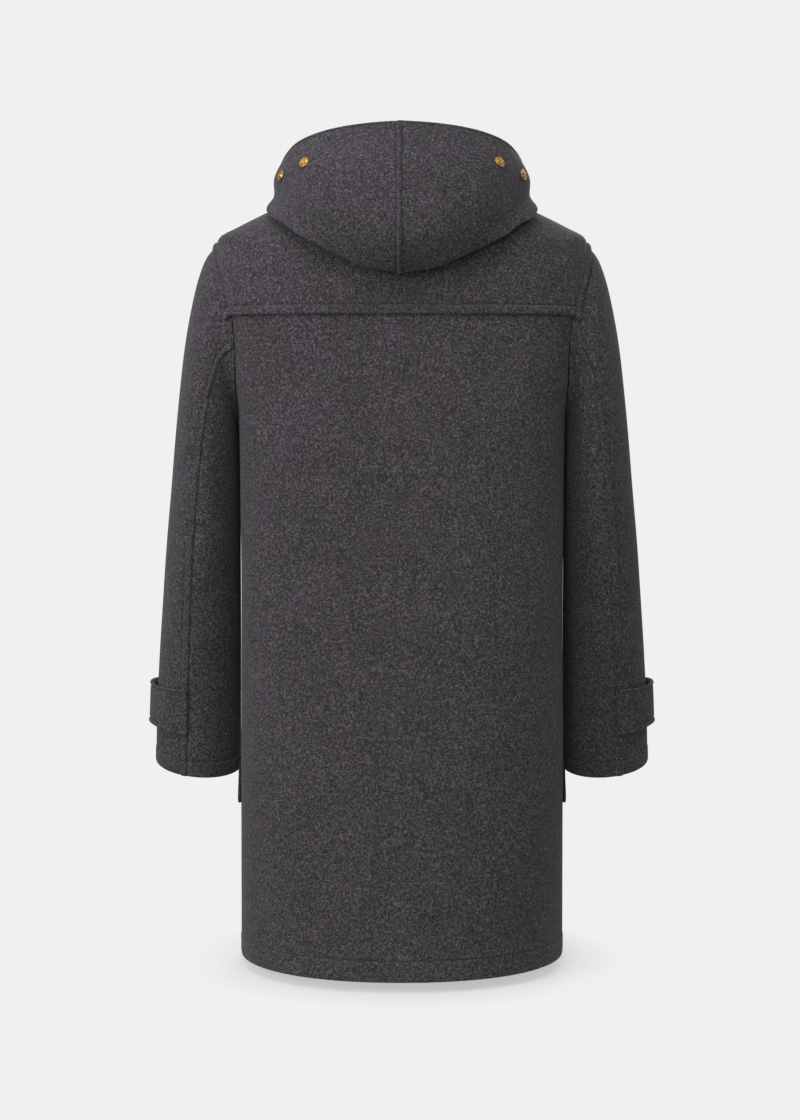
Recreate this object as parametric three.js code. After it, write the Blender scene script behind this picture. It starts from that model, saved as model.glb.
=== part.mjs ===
// A hooded wool duffle coat, filled out as if worn, in millimetres with +Z up.
// The wearer faces -Y and the wearer's left is +X.
// The origin is the centre of the neck base, where the wearer's shoulders carry the coat.
// Each piece of cloth is a wall between its outer points and the same points moved inwards.

import * as THREE from "three";
import { mergeVertices } from "three/addons/utils/BufferGeometryUtils.js";

// Cloth and seams
const CLOTH = 3;
const LEATHER = 2;
const SEAM = 0.3;
const HALF_SEAM = SEAM / 2;
const WIDEST_MITRE = 2.4;

// Body: heights of the neck edge, shoulder point, yoke edge and underarm
const NECK_EDGE = 8;
const SHOULDER_POINT = -73;
const YOKE_EDGE = -171;
const UNDERARM = -300;
const FRONT_NECK_DROP = 83;
const BACK_NECK_DROP = 18;

// Armhole: half its height, and how far it reaches behind and before the side seam
const ARMHOLE_MIDDLE = (SHOULDER_POINT + UNDERARM) / 2;
const ARMHOLE_HALF = (SHOULDER_POINT - UNDERARM) / 2;
const ARMHOLE_BACK = 80;
const ARMHOLE_FRONT = 70;
const YOKE_LAP = 10;
const ARMHOLE_SEAM_TURN = HALF_SEAM / 100;

// Front overlap: the left front runs past the centre and lies on the right front
const OVERLAP = 38;
const PLACKET_REACH = 92;
const PLACKET_SHARE = 0.73;
const UNDER_LAP_DEPTH = CLOTH + 0.7;
const YOKE_LAP_DEPTH = 2 * CLOTH + SEAM + 1.5;

// Numbers of strips that the cloth is divided into
const BACK_COLUMNS = 14;
const SIDE_COLUMNS = 5;
const PLACKET_COLUMNS = 5;
const ARMHOLE_STEPS_BELOW_YOKE = 5;
const ARMHOLE_STEPS_BESIDE_YOKE = 4;

// Torso sections: half width, depth behind and before the side seam, and squareness
const TORSO = table(
  ["level", "half", "back", "front", "power"],
  [8, 85, 72, 72, 2.0],
  [-6, 103, 76, 75, 2.2],
  [-20, 128, 81, 79, 2.5],
  [-40, 170, 90, 87, 2.8],
  [-58, 205, 97, 93, 3.0],
  [-73, 229, 102, 98, 3.2],
  [-120, 232, 112, 109, 3.4],
  [-171, 229, 118, 118, 3.4],
  [-240, 217, 124, 127, 3.3],
  [-300, 205, 128, 132, 3.2],
  [-500, 203, 132, 136, 3.0],
  [-970, 203, 150, 149, 2.15],
);
const SHOULDER_LEVELS = [8, -6, -20, -40, -58];
const BODY_LEVELS = [-300, -385, -470, -555, -640, -712, -796, -880, -970];

// Sleeve rings from the armhole to the cuff: their inner and outer points, seen from behind,
// how far they are shifted to the back, their half depth, and how far they drop to the back
const SLEEVE = table(
  ["ring", "innerX", "innerZ", "outerX", "outerZ", "shift", "depth", "pitch"],
  [0, 205, -300, 229, -73, 5, 75, 0],
  [1, 208, -304, 247, -93, 2, 75, 0],
  [2, 207.5, -310, 258, -122, 1, 76, 0],
  [3, 207, -318, 267, -160, 0, 76, 0],
  [4, 206.5, -329, 275, -207, 0, 75, 0],
  [5, 206, -345, 281, -258, -1, 74, 0.01],
  [6, 205.8, -370, 287, -318, -3, 72, 0.02],
  [7, 205.8, -412, 293, -386, -7, 69, 0.05],
  [8, 206, -470, 300, -458, -14, 65, 0.09],
  [9, 206.3, -536, 306, -532, -23, 61, 0.13],
  [10, 207, -606, 311.5, -602, -33, 58, 0.16],
  [11, 207.7, -674, 315.5, -667, -42, 56, 0.19],
  [12, 208.4, -747, 318, -736, -50, 54, 0.2],
);
const SLEEVE_RINGS = SLEEVE.length - 1;
const ARMHOLE_FADE_RINGS = 3;
const SEAM_DRIFT = 0.38;
const SLEEVE_SEAM_ANGLE = 0.0035;
const BACK_SEAM_STEP = 4;
const FRONT_SEAM_STEP = -3;

// Hood, as it lies on the shoulders: by the angle from the centre back, the level and stand-off
// of its lower fold, and the radius and height of its fullest part, its middle and its rim
const HOOD = table(
  ["angle", "layOff", "foldLevel", "foldOff", "bulgeR", "bulgeZ", "middleR", "middleZ", "rimR", "rimZ"],
  [0, 5.6, -124, 27, 171, -84, 162, -12, 128, 62],
  [20, 5.6, -117, 27, 171, -76, 163, -9, 131, 59.5],
  [40, 6.6, -94, 25, 173, -54, 168, 0, 140, 54],
  [60, 7.2, -60, 18, 171, -34, 169, 4, 152, 41],
  [80, 7.6, -36, 13, 163, -18, 163, 2, 154, 20],
  [100, 7.6, -28, 12, 152, -14, 154, -6, 147, 0],
  [120, 7.4, -24, 11, 136, -36, 138, -29, 132, -23],
  [140, 6.6, -20, 10, 118, -62, 120, -54, 115, -47],
  [160, 6.2, -14, 9, 102, -80, 104, -73, 100, -67],
  [179, 6.2, -10, 8, 96, -86, 98, -80, 94, -75],
);
const HOOD_ROLL = [
  { out: -0.4, up: 4.5 },
  { out: 0.9, up: 9 },
  { out: 4.6, up: 9.8 },
  { out: 8.6, up: 5.4 },
];
const HOOD_STEPS = [1, 1, 1, 1, 1, 2, 2, 2, 2, 2];
const HOOD_LAY_SHARES = [0.35, 0.7];
const HOOD_PLACKET_COLUMNS = 2;

// Cuff tab: a band from the sleeve's back seam round its outer side to a pointed end in front
const TAB_MIDDLE = -668;
const TAB_HALF = 30;
const TAB_REST = 0.5;
const TAB_LIFT = 6;
const TAB_RISE = 4;
const TAB_LAST_STEP = -5;
const TAB_POINT_SHARE = 0.82;
const TAB_POINT_HALF = 0.3;
const TAB_BUTTON_SHARE = 0.84;
const TAB_SWELL_POWER = 0.7;
const TAB_BUTTON = { radius: 11, thick: 4, dish: 1, rimWidth: 2, rimSlope: 1 };

// Pocket and flap on each front: levels, columns of the front panel, and the height and width of
// their rounded corners, which stay within one column
const POCKET = { top: -749, bottom: -930, first: 1.03, last: 4.9, corner: 30, cornerWidth: 30 };
const FLAP = { top: -724, fold: -747, bottom: -793, first: 0.75, last: 4.97, corner: 16, cornerWidth: 7 };
const PATCH_REST = 0.6;
const FLAP_FLARE = 2;
const FLAP_FLARE_POWER = 1.5;
const COLUMN_WIDTH = 38;

// Front fastenings: levels, and places beside the centre front
const FASTENING_LEVELS = [-233, -362, -491, -620];
const PATCH = table(["x", "half"], [50, 10], [66, 19], [80, 22], [90, 20]);
const LOOP = { start: 49.5, bend: 27, turn: 4, radius: 8, half: 2.5, steps: 6, flatAt: 40, liftedAt: 10 };
const STEM_HALF = 3;
const STEM_STEPS = table(["x", "rest"], [-49.5, -2.1], [-44, -0.8], [-40, 0.5], [-20, 0.5], [1, 0.5]);
const TOGGLE = { length: 48, radius: 6.5, x: 3 };
const TOGGLE_PROFILE = table(
  ["radius", "along"],
  [0, -1],
  [2.6, -1],
  [4.6, -0.8],
  [6.1, -0.45],
  [6.5, 0],
  [6.2, 0.45],
  [5.2, 0.8],
  [3.4, 1],
  [0, 1],
);

// Hood snaps, by the hood's angle, station and how far they lie off it, and the cap's size
const SNAPS = [{ angle: 46, station: 9.23, rest: -0.5 }, { angle: 61, station: 8.93, rest: -0.8 }];
const SNAP = { radius: 7.3, height: 2.6, edge: 1.3, domeRadius: 5.1, domeHeight: 2.3 };

// Colours
const WOOL = new THREE.MeshStandardMaterial({ color: 0x3d3a3f, roughness: 0.95, metalness: 0 });
const HIDE = new THREE.MeshStandardMaterial({ color: 0x2a211c, roughness: 0.6, metalness: 0 });
const HORN = new THREE.MeshStandardMaterial({ color: 0x4a3524, roughness: 0.35, metalness: 0 });
const BRASS = new THREE.MeshStandardMaterial({ color: 0xb08d57, roughness: 0.35, metalness: 1 });

const coat = new THREE.Group();

// Makes a table of rows with named columns.
function table(columns, ...rows) {
  return rows.map((row) => Object.fromEntries(columns.map((name, i) => [name, row[i]])));
}

// Reads one column of a table at any key, by smooth steps that never pass beyond their rows.
function read(rows, key, column, at) {
  const sorted = rows[0][key] < rows[rows.length - 1][key] ? rows : [...rows].reverse();
  const x = sorted.map((row) => row[key]);
  const y = sorted.map((row) => row[column]);
  const last = x.length - 1;
  const k = Math.min(last - 1, Math.max(0, x.findIndex((value) => value >= at) - 1));
  const i = at >= x[last] ? last - 1 : k;
  const rate = (j) => (y[j + 1] - y[j]) / (x[j + 1] - x[j]);
  const slope = (j) => {
    if (j === 0) return rate(0);
    if (j === last) return rate(last - 1);
    const [before, after] = [rate(j - 1), rate(j)];
    return before * after <= 0 ? 0 : (2 * before * after) / (before + after);
  };
  const step = x[i + 1] - x[i];
  const s = Math.min(1, Math.max(0, (at - x[i]) / step));
  const along = s * s * (3 - 2 * s);
  const start = s * (1 - s) * (1 - s) * step;
  const end = s * s * (1 - s) * step;
  return y[i] * (1 - along) + y[i + 1] * along + slope(i) * start - slope(i + 1) * end;
}

function smooth(from, to, at) {
  return THREE.MathUtils.smoothstep(at, from, to);
}

// The outward normal of a surface of two variables.
function normalOf(surface, u, v, stepU, stepV) {
  const along = surface(u, v + stepV).sub(surface(u, v - stepV));
  return along.cross(surface(u + stepU, v).sub(surface(u - stepU, v))).normalize();
}

// A point of the torso: turn 0 is the centre back, 90 degrees the left side, 180 the centre front.
function torso(turn, level) {
  const [half, power] = [read(TORSO, "level", "half", level), read(TORSO, "level", "power", level)];
  const depth = read(TORSO, "level", Math.cos(turn) > 0 ? "back" : "front", level);
  const [s, c] = [Math.sin(turn), Math.cos(turn)];
  const size = (Math.abs(s) ** power + Math.abs(c) ** power) ** (1 / power);
  const rise = smooth(YOKE_EDGE, NECK_EDGE, level);
  const drop = rise * Math.abs(c) ** 1.5 * (c > 0 ? BACK_NECK_DROP : FRONT_NECK_DROP);
  return new THREE.Vector3((half * s) / size, (depth * c) / size, level - drop);
}

function torsoNormal(turn, level) {
  return normalOf(torso, turn, level, 0.004, 1);
}

// The turn where a torso section lies y behind the side seam, or x beside the centre front.
function turnAtDepth(level, y) {
  const depth = read(TORSO, "level", y > 0 ? "back" : "front", level);
  const power = read(TORSO, "level", "power", level);
  const across = (1 - Math.abs(y / depth) ** power) ** (1 / power);
  return Math.atan2(across, y / depth);
}

function turnAtFront(level, x) {
  const share = x / read(TORSO, "level", "half", level);
  const power = read(TORSO, "level", "power", level);
  return Math.PI + Math.atan2(-share, (1 - Math.abs(share) ** power) ** (1 / power));
}

// The armhole by its angle: 0 is the underarm, 90 degrees the back, 180 the shoulder point.
function armholeLevel(angle) {
  return ARMHOLE_MIDDLE - ARMHOLE_HALF * Math.cos(angle);
}

function armholeTurn(angle) {
  const y = Math.sin(angle) * (Math.sin(angle) > 0 ? ARMHOLE_BACK : ARMHOLE_FRONT);
  return turnAtDepth(armholeLevel(angle), y);
}

// The angles where the armhole's points lie, from the underarm up to the shoulder point.
const YOKE_ANGLE = Math.acos((ARMHOLE_MIDDLE - YOKE_EDGE) / ARMHOLE_HALF);
const ARMHOLE_ANGLES = [];
for (let i = 0; i <= ARMHOLE_STEPS_BELOW_YOKE; i++) {
  ARMHOLE_ANGLES.push((YOKE_ANGLE * i) / ARMHOLE_STEPS_BELOW_YOKE);
}
for (let i = 1; i <= ARMHOLE_STEPS_BESIDE_YOKE; i++) {
  ARMHOLE_ANGLES.push(YOKE_ANGLE + ((Math.PI - YOKE_ANGLE) * i) / ARMHOLE_STEPS_BESIDE_YOKE);
}
const ARMHOLE_STEPS = ARMHOLE_ANGLES.length - 1;

// A signed armhole angle for a step: positive steps go up the back, negative ones up the front.
function stepAngle(step) {
  return Math.sign(step) * ARMHOLE_ANGLES[Math.abs(step)];
}

// A point of the left sleeve by its angle round the arm and its ring, 0 at the armhole.
function sleeve(angle, ring) {
  const at = (column, where = ring) => read(SLEEVE, "ring", column, where);
  const ellipse = (where, turned) => {
    const reach = (1 - Math.cos(turned)) / 2;
    const y = Math.sin(turned) * at("depth", where);
    const x = THREE.MathUtils.lerp(at("innerX", where), at("outerX", where), reach);
    const z = THREE.MathUtils.lerp(at("innerZ", where), at("outerZ", where), reach);
    return new THREE.Vector3(x, at("shift", where) + y, z - y * at("pitch", where));
  };
  const turned = angle + SEAM_DRIFT * smooth(1, SLEEVE_RINGS - 3, ring) * Math.sin(angle);
  const edge = torso(armholeTurn(angle), armholeLevel(angle)).sub(ellipse(0, angle));
  const fade = 1 - smooth(0, ARMHOLE_FADE_RINGS, ring);
  return ellipse(ring, turned).addScaledVector(edge, fade * fade);
}

function sleeveNormal(angle, ring) {
  const inside = Math.min(SLEEVE_RINGS - 0.02, Math.max(0.02, ring));
  return normalOf(sleeve, angle, inside, 0.01, 0.02).negate();
}

// The direction inwards at the armhole that the body and the sleeve share, so they never cross.
function armholeInwards(angle) {
  const body = torsoNormal(armholeTurn(angle), armholeLevel(angle));
  const between = body.clone().add(sleeveNormal(angle, 0.02)).normalize();
  const stretch = Math.min(WIDEST_MITRE, 1 / Math.max(0.01, between.dot(body)));
  return between.multiplyScalar(-CLOTH * stretch);
}

// A wall from grids of {outer, inner} points. Grids that share edges become one piece.
function wall(...grids) {
  const [outer, inner, faces, known] = [[], [], [], new Map()];
  const indexOf = (point) => {
    const key = point.outer.toArray().map((value) => value.toFixed(3)).join();
    if (!known.has(key)) {
      known.set(key, outer.length);
      outer.push(point.outer);
      inner.push(point.inner);
    }
    return known.get(key);
  };
  for (const grid of grids) {
    for (let r = 0; r + 1 < grid.length; r++) {
      for (let c = 0; c + 1 < grid[r].length; c++) {
        const corners = [grid[r][c], grid[r][c + 1], grid[r + 1][c + 1], grid[r + 1][c]];
        if (grid.isMirrored) corners.push(corners.shift());
        faces.push([...new Set(corners.map(indexOf))]);
      }
    }
  }
  const count = outer.length;
  const triangles = [];
  const edges = new Set();
  for (const face of faces) {
    for (let i = 1; i + 1 < face.length; i++) {
      const [a, b, c] = [face[0], face[i], face[i + 1]];
      triangles.push(a, b, c, a + count, c + count, b + count);
    }
    face.forEach((a, i) => edges.add(`${a},${face[(i + 1) % face.length]}`));
  }
  for (const edge of edges) {
    const [a, b] = edge.split(",").map(Number);
    if (!edges.has(`${b},${a}`)) triangles.push(b, a, a + count, b, a + count, b + count);
  }
  const geometry = new THREE.BufferGeometry();
  const positions = [...outer, ...inner].flatMap((point) => point.toArray());
  geometry.setAttribute("position", new THREE.Float32BufferAttribute(positions, 3));
  geometry.setIndex(triangles);
  return geometry;
}

// Mirrors a geometry to the wearer's right.
function mirrored(geometry) {
  const copy = geometry.clone().scale(-1, 1, 1);
  const index = Array.from(copy.index.array);
  for (let i = 0; i < index.length; i += 3) [index[i], index[i + 1]] = [index[i + 1], index[i]];
  copy.setIndex(index);
  return copy;
}

function add(name, geometry, material) {
  const mesh = new THREE.Mesh(geometry, material);
  mesh.name = name;
  coat.add(mesh);
}

// A grid of points, by a function of the row and the column.
function gridOf(rows, columns, point) {
  return rows.map((row) => columns.map((column) => point(row, column)));
}

function wallPoint(place, normal) {
  return { outer: place, inner: place.clone().addScaledVector(normal, -CLOTH) };
}

function range(from, to) {
  return Array.from({ length: to - from + 1 }, (_, i) => from + i);
}

// Rows of the body from the neck to the hem: each has a level, and an angle beside the armhole.
const BODY_ROWS = [
  ...SHOULDER_LEVELS.map((level) => ({ level })),
  ...[...ARMHOLE_ANGLES].reverse().map((angle) => ({ level: armholeLevel(angle), angle })),
  ...BODY_LEVELS.slice(1).map((level) => ({ level })),
];
const FIRST_ARMHOLE_ROW = SHOULDER_LEVELS.length;
const YOKE_LAST_ROW = FIRST_ARMHOLE_ROW + ARMHOLE_STEPS_BESIDE_YOKE;

// The panel's side edge on a row: the side seam, the armhole or the shoulder line.
function edgeTurn(row, side) {
  if (row.angle !== undefined) return armholeTurn(side * row.angle) - side * ARMHOLE_SEAM_TURN;
  return Math.PI / 2 - (side * HALF_SEAM) / read(TORSO, "level", "half", row.level);
}

// Inside the panel the columns follow a softer line than the armhole, so that none is bent sharply.
const SOFT_ANGLE = ARMHOLE_ANGLES[ARMHOLE_STEPS_BELOW_YOKE - 1];
const SOFT_TOP = armholeLevel(SOFT_ANGLE);
const SOFT_BOTTOM = BODY_LEVELS[1];
const SOFT_POWER = 6;

function softTurn(row, side, share) {
  const edge = edgeTurn(row, side);
  if (row.level > SOFT_TOP || row.level < SOFT_BOTTOM) return edge;
  const top = armholeTurn(side * SOFT_ANGLE);
  const soft = THREE.MathUtils.lerp(Math.PI / 2, top, smooth(SOFT_BOTTOM, SOFT_TOP, row.level));
  return THREE.MathUtils.lerp(soft, edge, share ** SOFT_POWER);
}

function backPoint(row, share) {
  const turn = softTurn(row, 1, Math.abs(share)) * share;
  const level = Math.abs(share) === 1 && row.angle === 0 ? row.level - HALF_SEAM : row.level;
  const normal = torsoNormal(turn, row.level);
  const point = wallPoint(torso(turn, level), normal);
  if (Math.abs(share) === 1 && row.angle !== undefined) {
    const inwards = armholeInwards(row.angle);
    inwards.x *= Math.sign(share);
    point.inner = point.outer.clone().add(inwards);
  }
  return { ...point, normal };
}

const BACK_SHARES = range(0, BACK_COLUMNS).map((i) => (2 * i) / BACK_COLUMNS - 1);

// A front panel's column: the first ones divide the side, the last ones the overlap.
function frontTurn(row, column) {
  const start = softTurn(row, -1, 1 - column / SIDE_COLUMNS);
  const reach = Math.min(PLACKET_REACH, PLACKET_SHARE * read(TORSO, "level", "half", row.level));
  if (column <= SIDE_COLUMNS) {
    return THREE.MathUtils.lerp(start, turnAtFront(row.level, reach), column / SIDE_COLUMNS);
  }
  const share = (column - SIDE_COLUMNS) / PLACKET_COLUMNS;
  return turnAtFront(row.level, THREE.MathUtils.lerp(reach, -OVERLAP, share));
}

function frontPoint(row, column, under) {
  const turn = frontTurn(row, column);
  const level = column === 0 && row.angle === 0 ? row.level - HALF_SEAM : row.level;
  const normal = torsoNormal(turn, row.level);
  const depth = row.level > YOKE_EDGE - 1 ? YOKE_LAP_DEPTH : UNDER_LAP_DEPTH;
  const inset = under ? depth * smooth(SIDE_COLUMNS, SIDE_COLUMNS + 1, column) : 0;
  const point = wallPoint(torso(turn, level).addScaledVector(normal, -inset), normal);
  if (column === 0 && row.angle !== undefined) {
    point.inner = point.outer.clone().add(armholeInwards(-row.angle));
  }
  return { ...point, normal };
}

const FRONT_COLUMNS = range(0, SIDE_COLUMNS + PLACKET_COLUMNS);

add("back", wall(gridOf(BODY_ROWS, BACK_SHARES, backPoint)), WOOL);
const leftFrontGrid = gridOf(BODY_ROWS, FRONT_COLUMNS, (row, column) => frontPoint(row, column, false));
const rightFrontGrid = gridOf(BODY_ROWS, FRONT_COLUMNS, (row, column) => frontPoint(row, column, true));
add("front_left", wall(leftFrontGrid), WOOL);
add("front_right", mirrored(wall(rightFrontGrid)), WOOL);

// The left sleeve, cut as an upper and an under piece along a back and a front seam.
const RINGS = range(0, SLEEVE_RINGS);
const RING_ROWS = [0, 0.5, ...RINGS.slice(1)];

function sleevePoint(ring, step, firstStep, lastStep) {
  const nudge = step === firstStep ? 1 : step === lastStep ? -1 : 0;
  const angle = stepAngle(step) + nudge * SLEEVE_SEAM_ANGLE;
  const place = sleeve(angle, ring === 0 ? 0.015 : ring);
  const point = wallPoint(place, sleeveNormal(angle, ring));
  if (ring === 0) point.inner = place.clone().add(armholeInwards(stepAngle(step)));
  return point;
}

function sleevePiece(firstStep, lastStep) {
  const steps = range(firstStep, lastStep);
  const wrapped = (step) => (step > ARMHOLE_STEPS ? step - 2 * ARMHOLE_STEPS : step);
  const [first, last] = [wrapped(firstStep), wrapped(lastStep)];
  return wall(gridOf(RING_ROWS, steps, (ring, step) => sleevePoint(ring, wrapped(step), first, last)));
}

const upperSleeve = sleevePiece(BACK_SEAM_STEP, 2 * ARMHOLE_STEPS + FRONT_SEAM_STEP);
const underSleeve = sleevePiece(FRONT_SEAM_STEP, BACK_SEAM_STEP);
add("sleeve_left_upper", upperSleeve, WOOL);
add("sleeve_left_under", underSleeve, WOOL);
add("sleeve_right_upper", mirrored(upperSleeve), WOOL);
add("sleeve_right_under", mirrored(underSleeve), WOOL);

// The yoke lies on the back and the fronts, and laps over the head of each sleeve.
function above({ outer, normal }) {
  const base = outer.clone().addScaledVector(normal, SEAM);
  return { outer: base.clone().addScaledVector(normal, CLOTH), inner: base };
}

// The same grid on the other side of the coat, with its faces still divided alike.
function mirroredGrid(grid) {
  const copy = grid.map((line) => [...line].reverse().map(flipped));
  copy.isMirrored = true;
  return copy;
}

function flipped(point) {
  const turned = (place) => new THREE.Vector3(-place.x, place.y, place.z);
  return { outer: turned(point.outer), inner: turned(point.inner) };
}

const YOKE_ROWS = BODY_ROWS.slice(0, YOKE_LAST_ROW + 1);

// The sleeve's ring that lies the width of the lap away from the armhole.
function lapRing(angle) {
  const edge = sleeve(angle, 0);
  let ring = 0.1;
  while (sleeve(angle, ring).distanceTo(edge) < YOKE_LAP) ring += 0.05;
  return ring;
}

// The yoke's edge above the armhole seam, where body and sleeve meet, and its lap on the sleeve.
function yokeSeamPoint(row, side) {
  const angle = side * row.angle;
  const place = torso(armholeTurn(angle), row.level);
  const normal = torsoNormal(armholeTurn(angle), row.level).add(sleeveNormal(angle, 0.02)).normalize();
  return above({ outer: place, normal });
}

function yokeLapPoint(row, side) {
  const angle = side * row.angle;
  const ring = lapRing(angle);
  return above({ outer: sleeve(angle, ring), normal: sleeveNormal(angle, ring) });
}

function yokeBack(row, share) {
  if (Math.abs(share) < 1) return above(backPoint(row, share));
  const edge = row.angle === undefined ? above(shoulderPoint(row)) : yokeSeamPoint(row, 1);
  return share > 0 ? edge : flipped(edge);
}

function shoulderPoint(row) {
  const turn = Math.PI / 2;
  return { outer: torso(turn, row.level), normal: torsoNormal(turn, row.level) };
}

function yokeFront(row, column, under) {
  if (column > 0) return above(frontPoint(row, column, under));
  return row.angle === undefined ? above(shoulderPoint(row)) : yokeSeamPoint(row, -1);
}

const LAP_ROWS = YOKE_ROWS.filter((row) => row.angle !== undefined);
const lapSeam = [
  ...[...LAP_ROWS].reverse().map((row) => [row, 1]),
  ...LAP_ROWS.slice(1).map((row) => [row, -1]),
];
const leftLap = gridOf([0, 1], lapSeam, (away, [row, side]) =>
  away ? yokeLapPoint(row, side) : yokeSeamPoint(row, side));
const yokeFrontRight = gridOf(YOKE_ROWS, FRONT_COLUMNS, (row, column) => yokeFront(row, column, true));
add("yoke", wall(
  gridOf(YOKE_ROWS, BACK_SHARES, yokeBack),
  gridOf(YOKE_ROWS, FRONT_COLUMNS, (row, column) => yokeFront(row, column, false)),
  mirroredGrid(yokeFrontRight),
  leftLap,
  mirroredGrid(leftLap),
), WOOL);

// A point of the hood's outside: stations run from the neck seam, over the roll, down the inner
// layer to the lower fold, and up the outer layer to the rim.
const HOOD_STATIONS = HOOD_STEPS.length;

function hoodPath(angle) {
  const at = (column) => read(HOOD, "angle", column, angle);
  const turned = THREE.MathUtils.degToRad(angle);
  const radial = new THREE.Vector3(Math.sin(turned), Math.cos(turned), 0);
  const polar = (radius, z) => radial.clone().multiplyScalar(radius).setZ(z);
  const onBody = (level, off) => {
    const half = read(TORSO, "level", "half", level);
    const depth = read(TORSO, "level", radial.y > 0 ? "back" : "front", level);
    const turn = Math.atan2(radial.x / half, radial.y / depth);
    return torso(turn, level).addScaledVector(torsoNormal(turn, Math.min(level, NECK_EDGE - 1)), off);
  };
  const up = onBody(NECK_EDGE, 0).sub(onBody(NECK_EDGE - 2, 0)).normalize();
  const base = onBody(NECK_EDGE, CLOTH).addScaledVector(up, SEAM + 0.1);
  const foldLevel = at("foldLevel");
  const layLevel = (share) => THREE.MathUtils.lerp(NECK_EDGE, foldLevel, share);
  return [
    base,
    ...HOOD_ROLL.map(({ out, up: lift }) => base.clone().addScaledVector(radial, out).setZ(base.z + lift)),
    onBody(layLevel(HOOD_LAY_SHARES[0]), at("layOff")),
    onBody(layLevel(HOOD_LAY_SHARES[1]), at("layOff") + 1),
    onBody(foldLevel, at("foldOff")),
    polar(at("bulgeR"), at("bulgeZ")),
    polar(at("middleR"), at("middleZ")),
    polar(at("rimR"), at("rimZ")),
  ];
}

function hood(angle, station) {
  const path = new THREE.CatmullRomCurve3(hoodPath(Math.abs(angle)));
  const place = path.getPoint(THREE.MathUtils.clamp(station / HOOD_STATIONS, 0, 1));
  if (angle < 0) place.x *= -1;
  return place;
}

function hoodNormal(angle, station) {
  const inside = THREE.MathUtils.clamp(station, 0.02, HOOD_STATIONS - 0.02);
  return normalOf(hood, angle, inside, 0.3, 0.02);
}

// The hood's columns start at the points of the neck edge below it.
const neckRow = BODY_ROWS[0];
const neckTurns = [
  ...range(0, BACK_COLUMNS / 2).map((i) => (Math.PI * i) / BACK_COLUMNS),
  ...range(1, SIDE_COLUMNS + HOOD_PLACKET_COLUMNS).map((column) => frontTurn(neckRow, column)),
];
const HOOD_ANGLES = neckTurns.map((turn) => {
  const { x, y } = torso(turn, NECK_EDGE);
  return THREE.MathUtils.radToDeg(Math.atan2(x, y));
});
const HOOD_ROWS = [HOOD_STATIONS];
HOOD_STEPS.map((steps, i) => [steps, i]).reverse().forEach(([steps, i]) => {
  for (let k = steps - 1; k >= 0; k--) HOOD_ROWS.push(i + k / steps);
});

function hoodPoint(station, angle) {
  const normal = hoodNormal(angle, station);
  if (angle === 0) normal.setX(0).normalize();
  const place = hood(angle, station);
  if (angle === 0) place.x += HALF_SEAM;
  return wallPoint(place, normal);
}

const hoodHalf = wall(gridOf(HOOD_ROWS, HOOD_ANGLES, hoodPoint));
add("hood_left", hoodHalf, WOOL);
add("hood_right", mirrored(hoodHalf), WOOL);

// A solid of revolution about +Y, stood on a point along a direction.
function turnedOn(profile, sides, place, direction) {
  const points = profile.map(([radius, height]) => new THREE.Vector2(radius, height));
  const geometry = mergeVertices(bare(new THREE.LatheGeometry(points, sides)), 1e-4);
  const turn = new THREE.Quaternion().setFromUnitVectors(new THREE.Vector3(0, 1, 0), direction);
  return geometry.applyQuaternion(turn).translate(place.x, place.y, place.z);
}

function bare(geometry) {
  geometry.deleteAttribute("normal");
  geometry.deleteAttribute("uv");
  return geometry;
}

// Brass snap caps, two on each side of the hood.
SNAPS.forEach(({ angle, station, rest }, i) => {
  const { radius, height, edge, domeRadius, domeHeight } = SNAP;
  const normal = hoodNormal(angle, station);
  const place = hood(angle, station).addScaledVector(normal, rest);
  const profile = [[0, 0], [radius, 0], [radius, edge], [domeRadius, domeHeight], [0, height]];
  const cap = turnedOn(profile, 16, place, normal);
  add(`snap_left_${i + 1}`, cap, BRASS);
  add(`snap_right_${i + 1}`, mirrored(cap), BRASS);
});

// The sleeve's ring where it has a height, at one angle round the arm.
const HALVINGS = 30;

function ringAt(angle, z) {
  let [low, high] = [0, SLEEVE_RINGS];
  for (let i = 0; i < HALVINGS; i++) {
    const ring = (low + high) / 2;
    if (sleeve(angle, ring).z > z) low = ring;
    else high = ring;
  }
  return low;
}

// A point of the cuff tab by its share along the band and across it, -1 at its lower edge.
function tabPoint(share, across) {
  const lastStep = 2 * ARMHOLE_STEPS + TAB_LAST_STEP;
  const step = THREE.MathUtils.lerp(BACK_SEAM_STEP, lastStep, share);
  const low = Math.floor(Math.min(step, lastStep - 1));
  const angleOf = (k) => (k <= ARMHOLE_STEPS ? stepAngle(k) : 2 * Math.PI + stepAngle(k - 2 * ARMHOLE_STEPS));
  const angle = THREE.MathUtils.lerp(angleOf(low), angleOf(low + 1), step - low);
  const narrow = Math.max(0, share - TAB_POINT_SHARE) / (1 - TAB_POINT_SHARE);
  const half = TAB_HALF * THREE.MathUtils.lerp(1, TAB_POINT_HALF, narrow);
  const swell = Math.sin(Math.PI * share) ** TAB_SWELL_POWER;
  const z = TAB_MIDDLE + TAB_RISE * swell + across * half;
  const ring = ringAt(wrapAngle(angle), z);
  const normal = sleeveNormal(wrapAngle(angle), ring);
  const inner = sleeve(wrapAngle(angle), ring).addScaledVector(normal, TAB_REST + TAB_LIFT * swell);
  return { outer: inner.clone().addScaledVector(normal, CLOTH), inner, normal };
}

function wrapAngle(angle) {
  return angle > Math.PI ? angle - 2 * Math.PI : angle;
}

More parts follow.
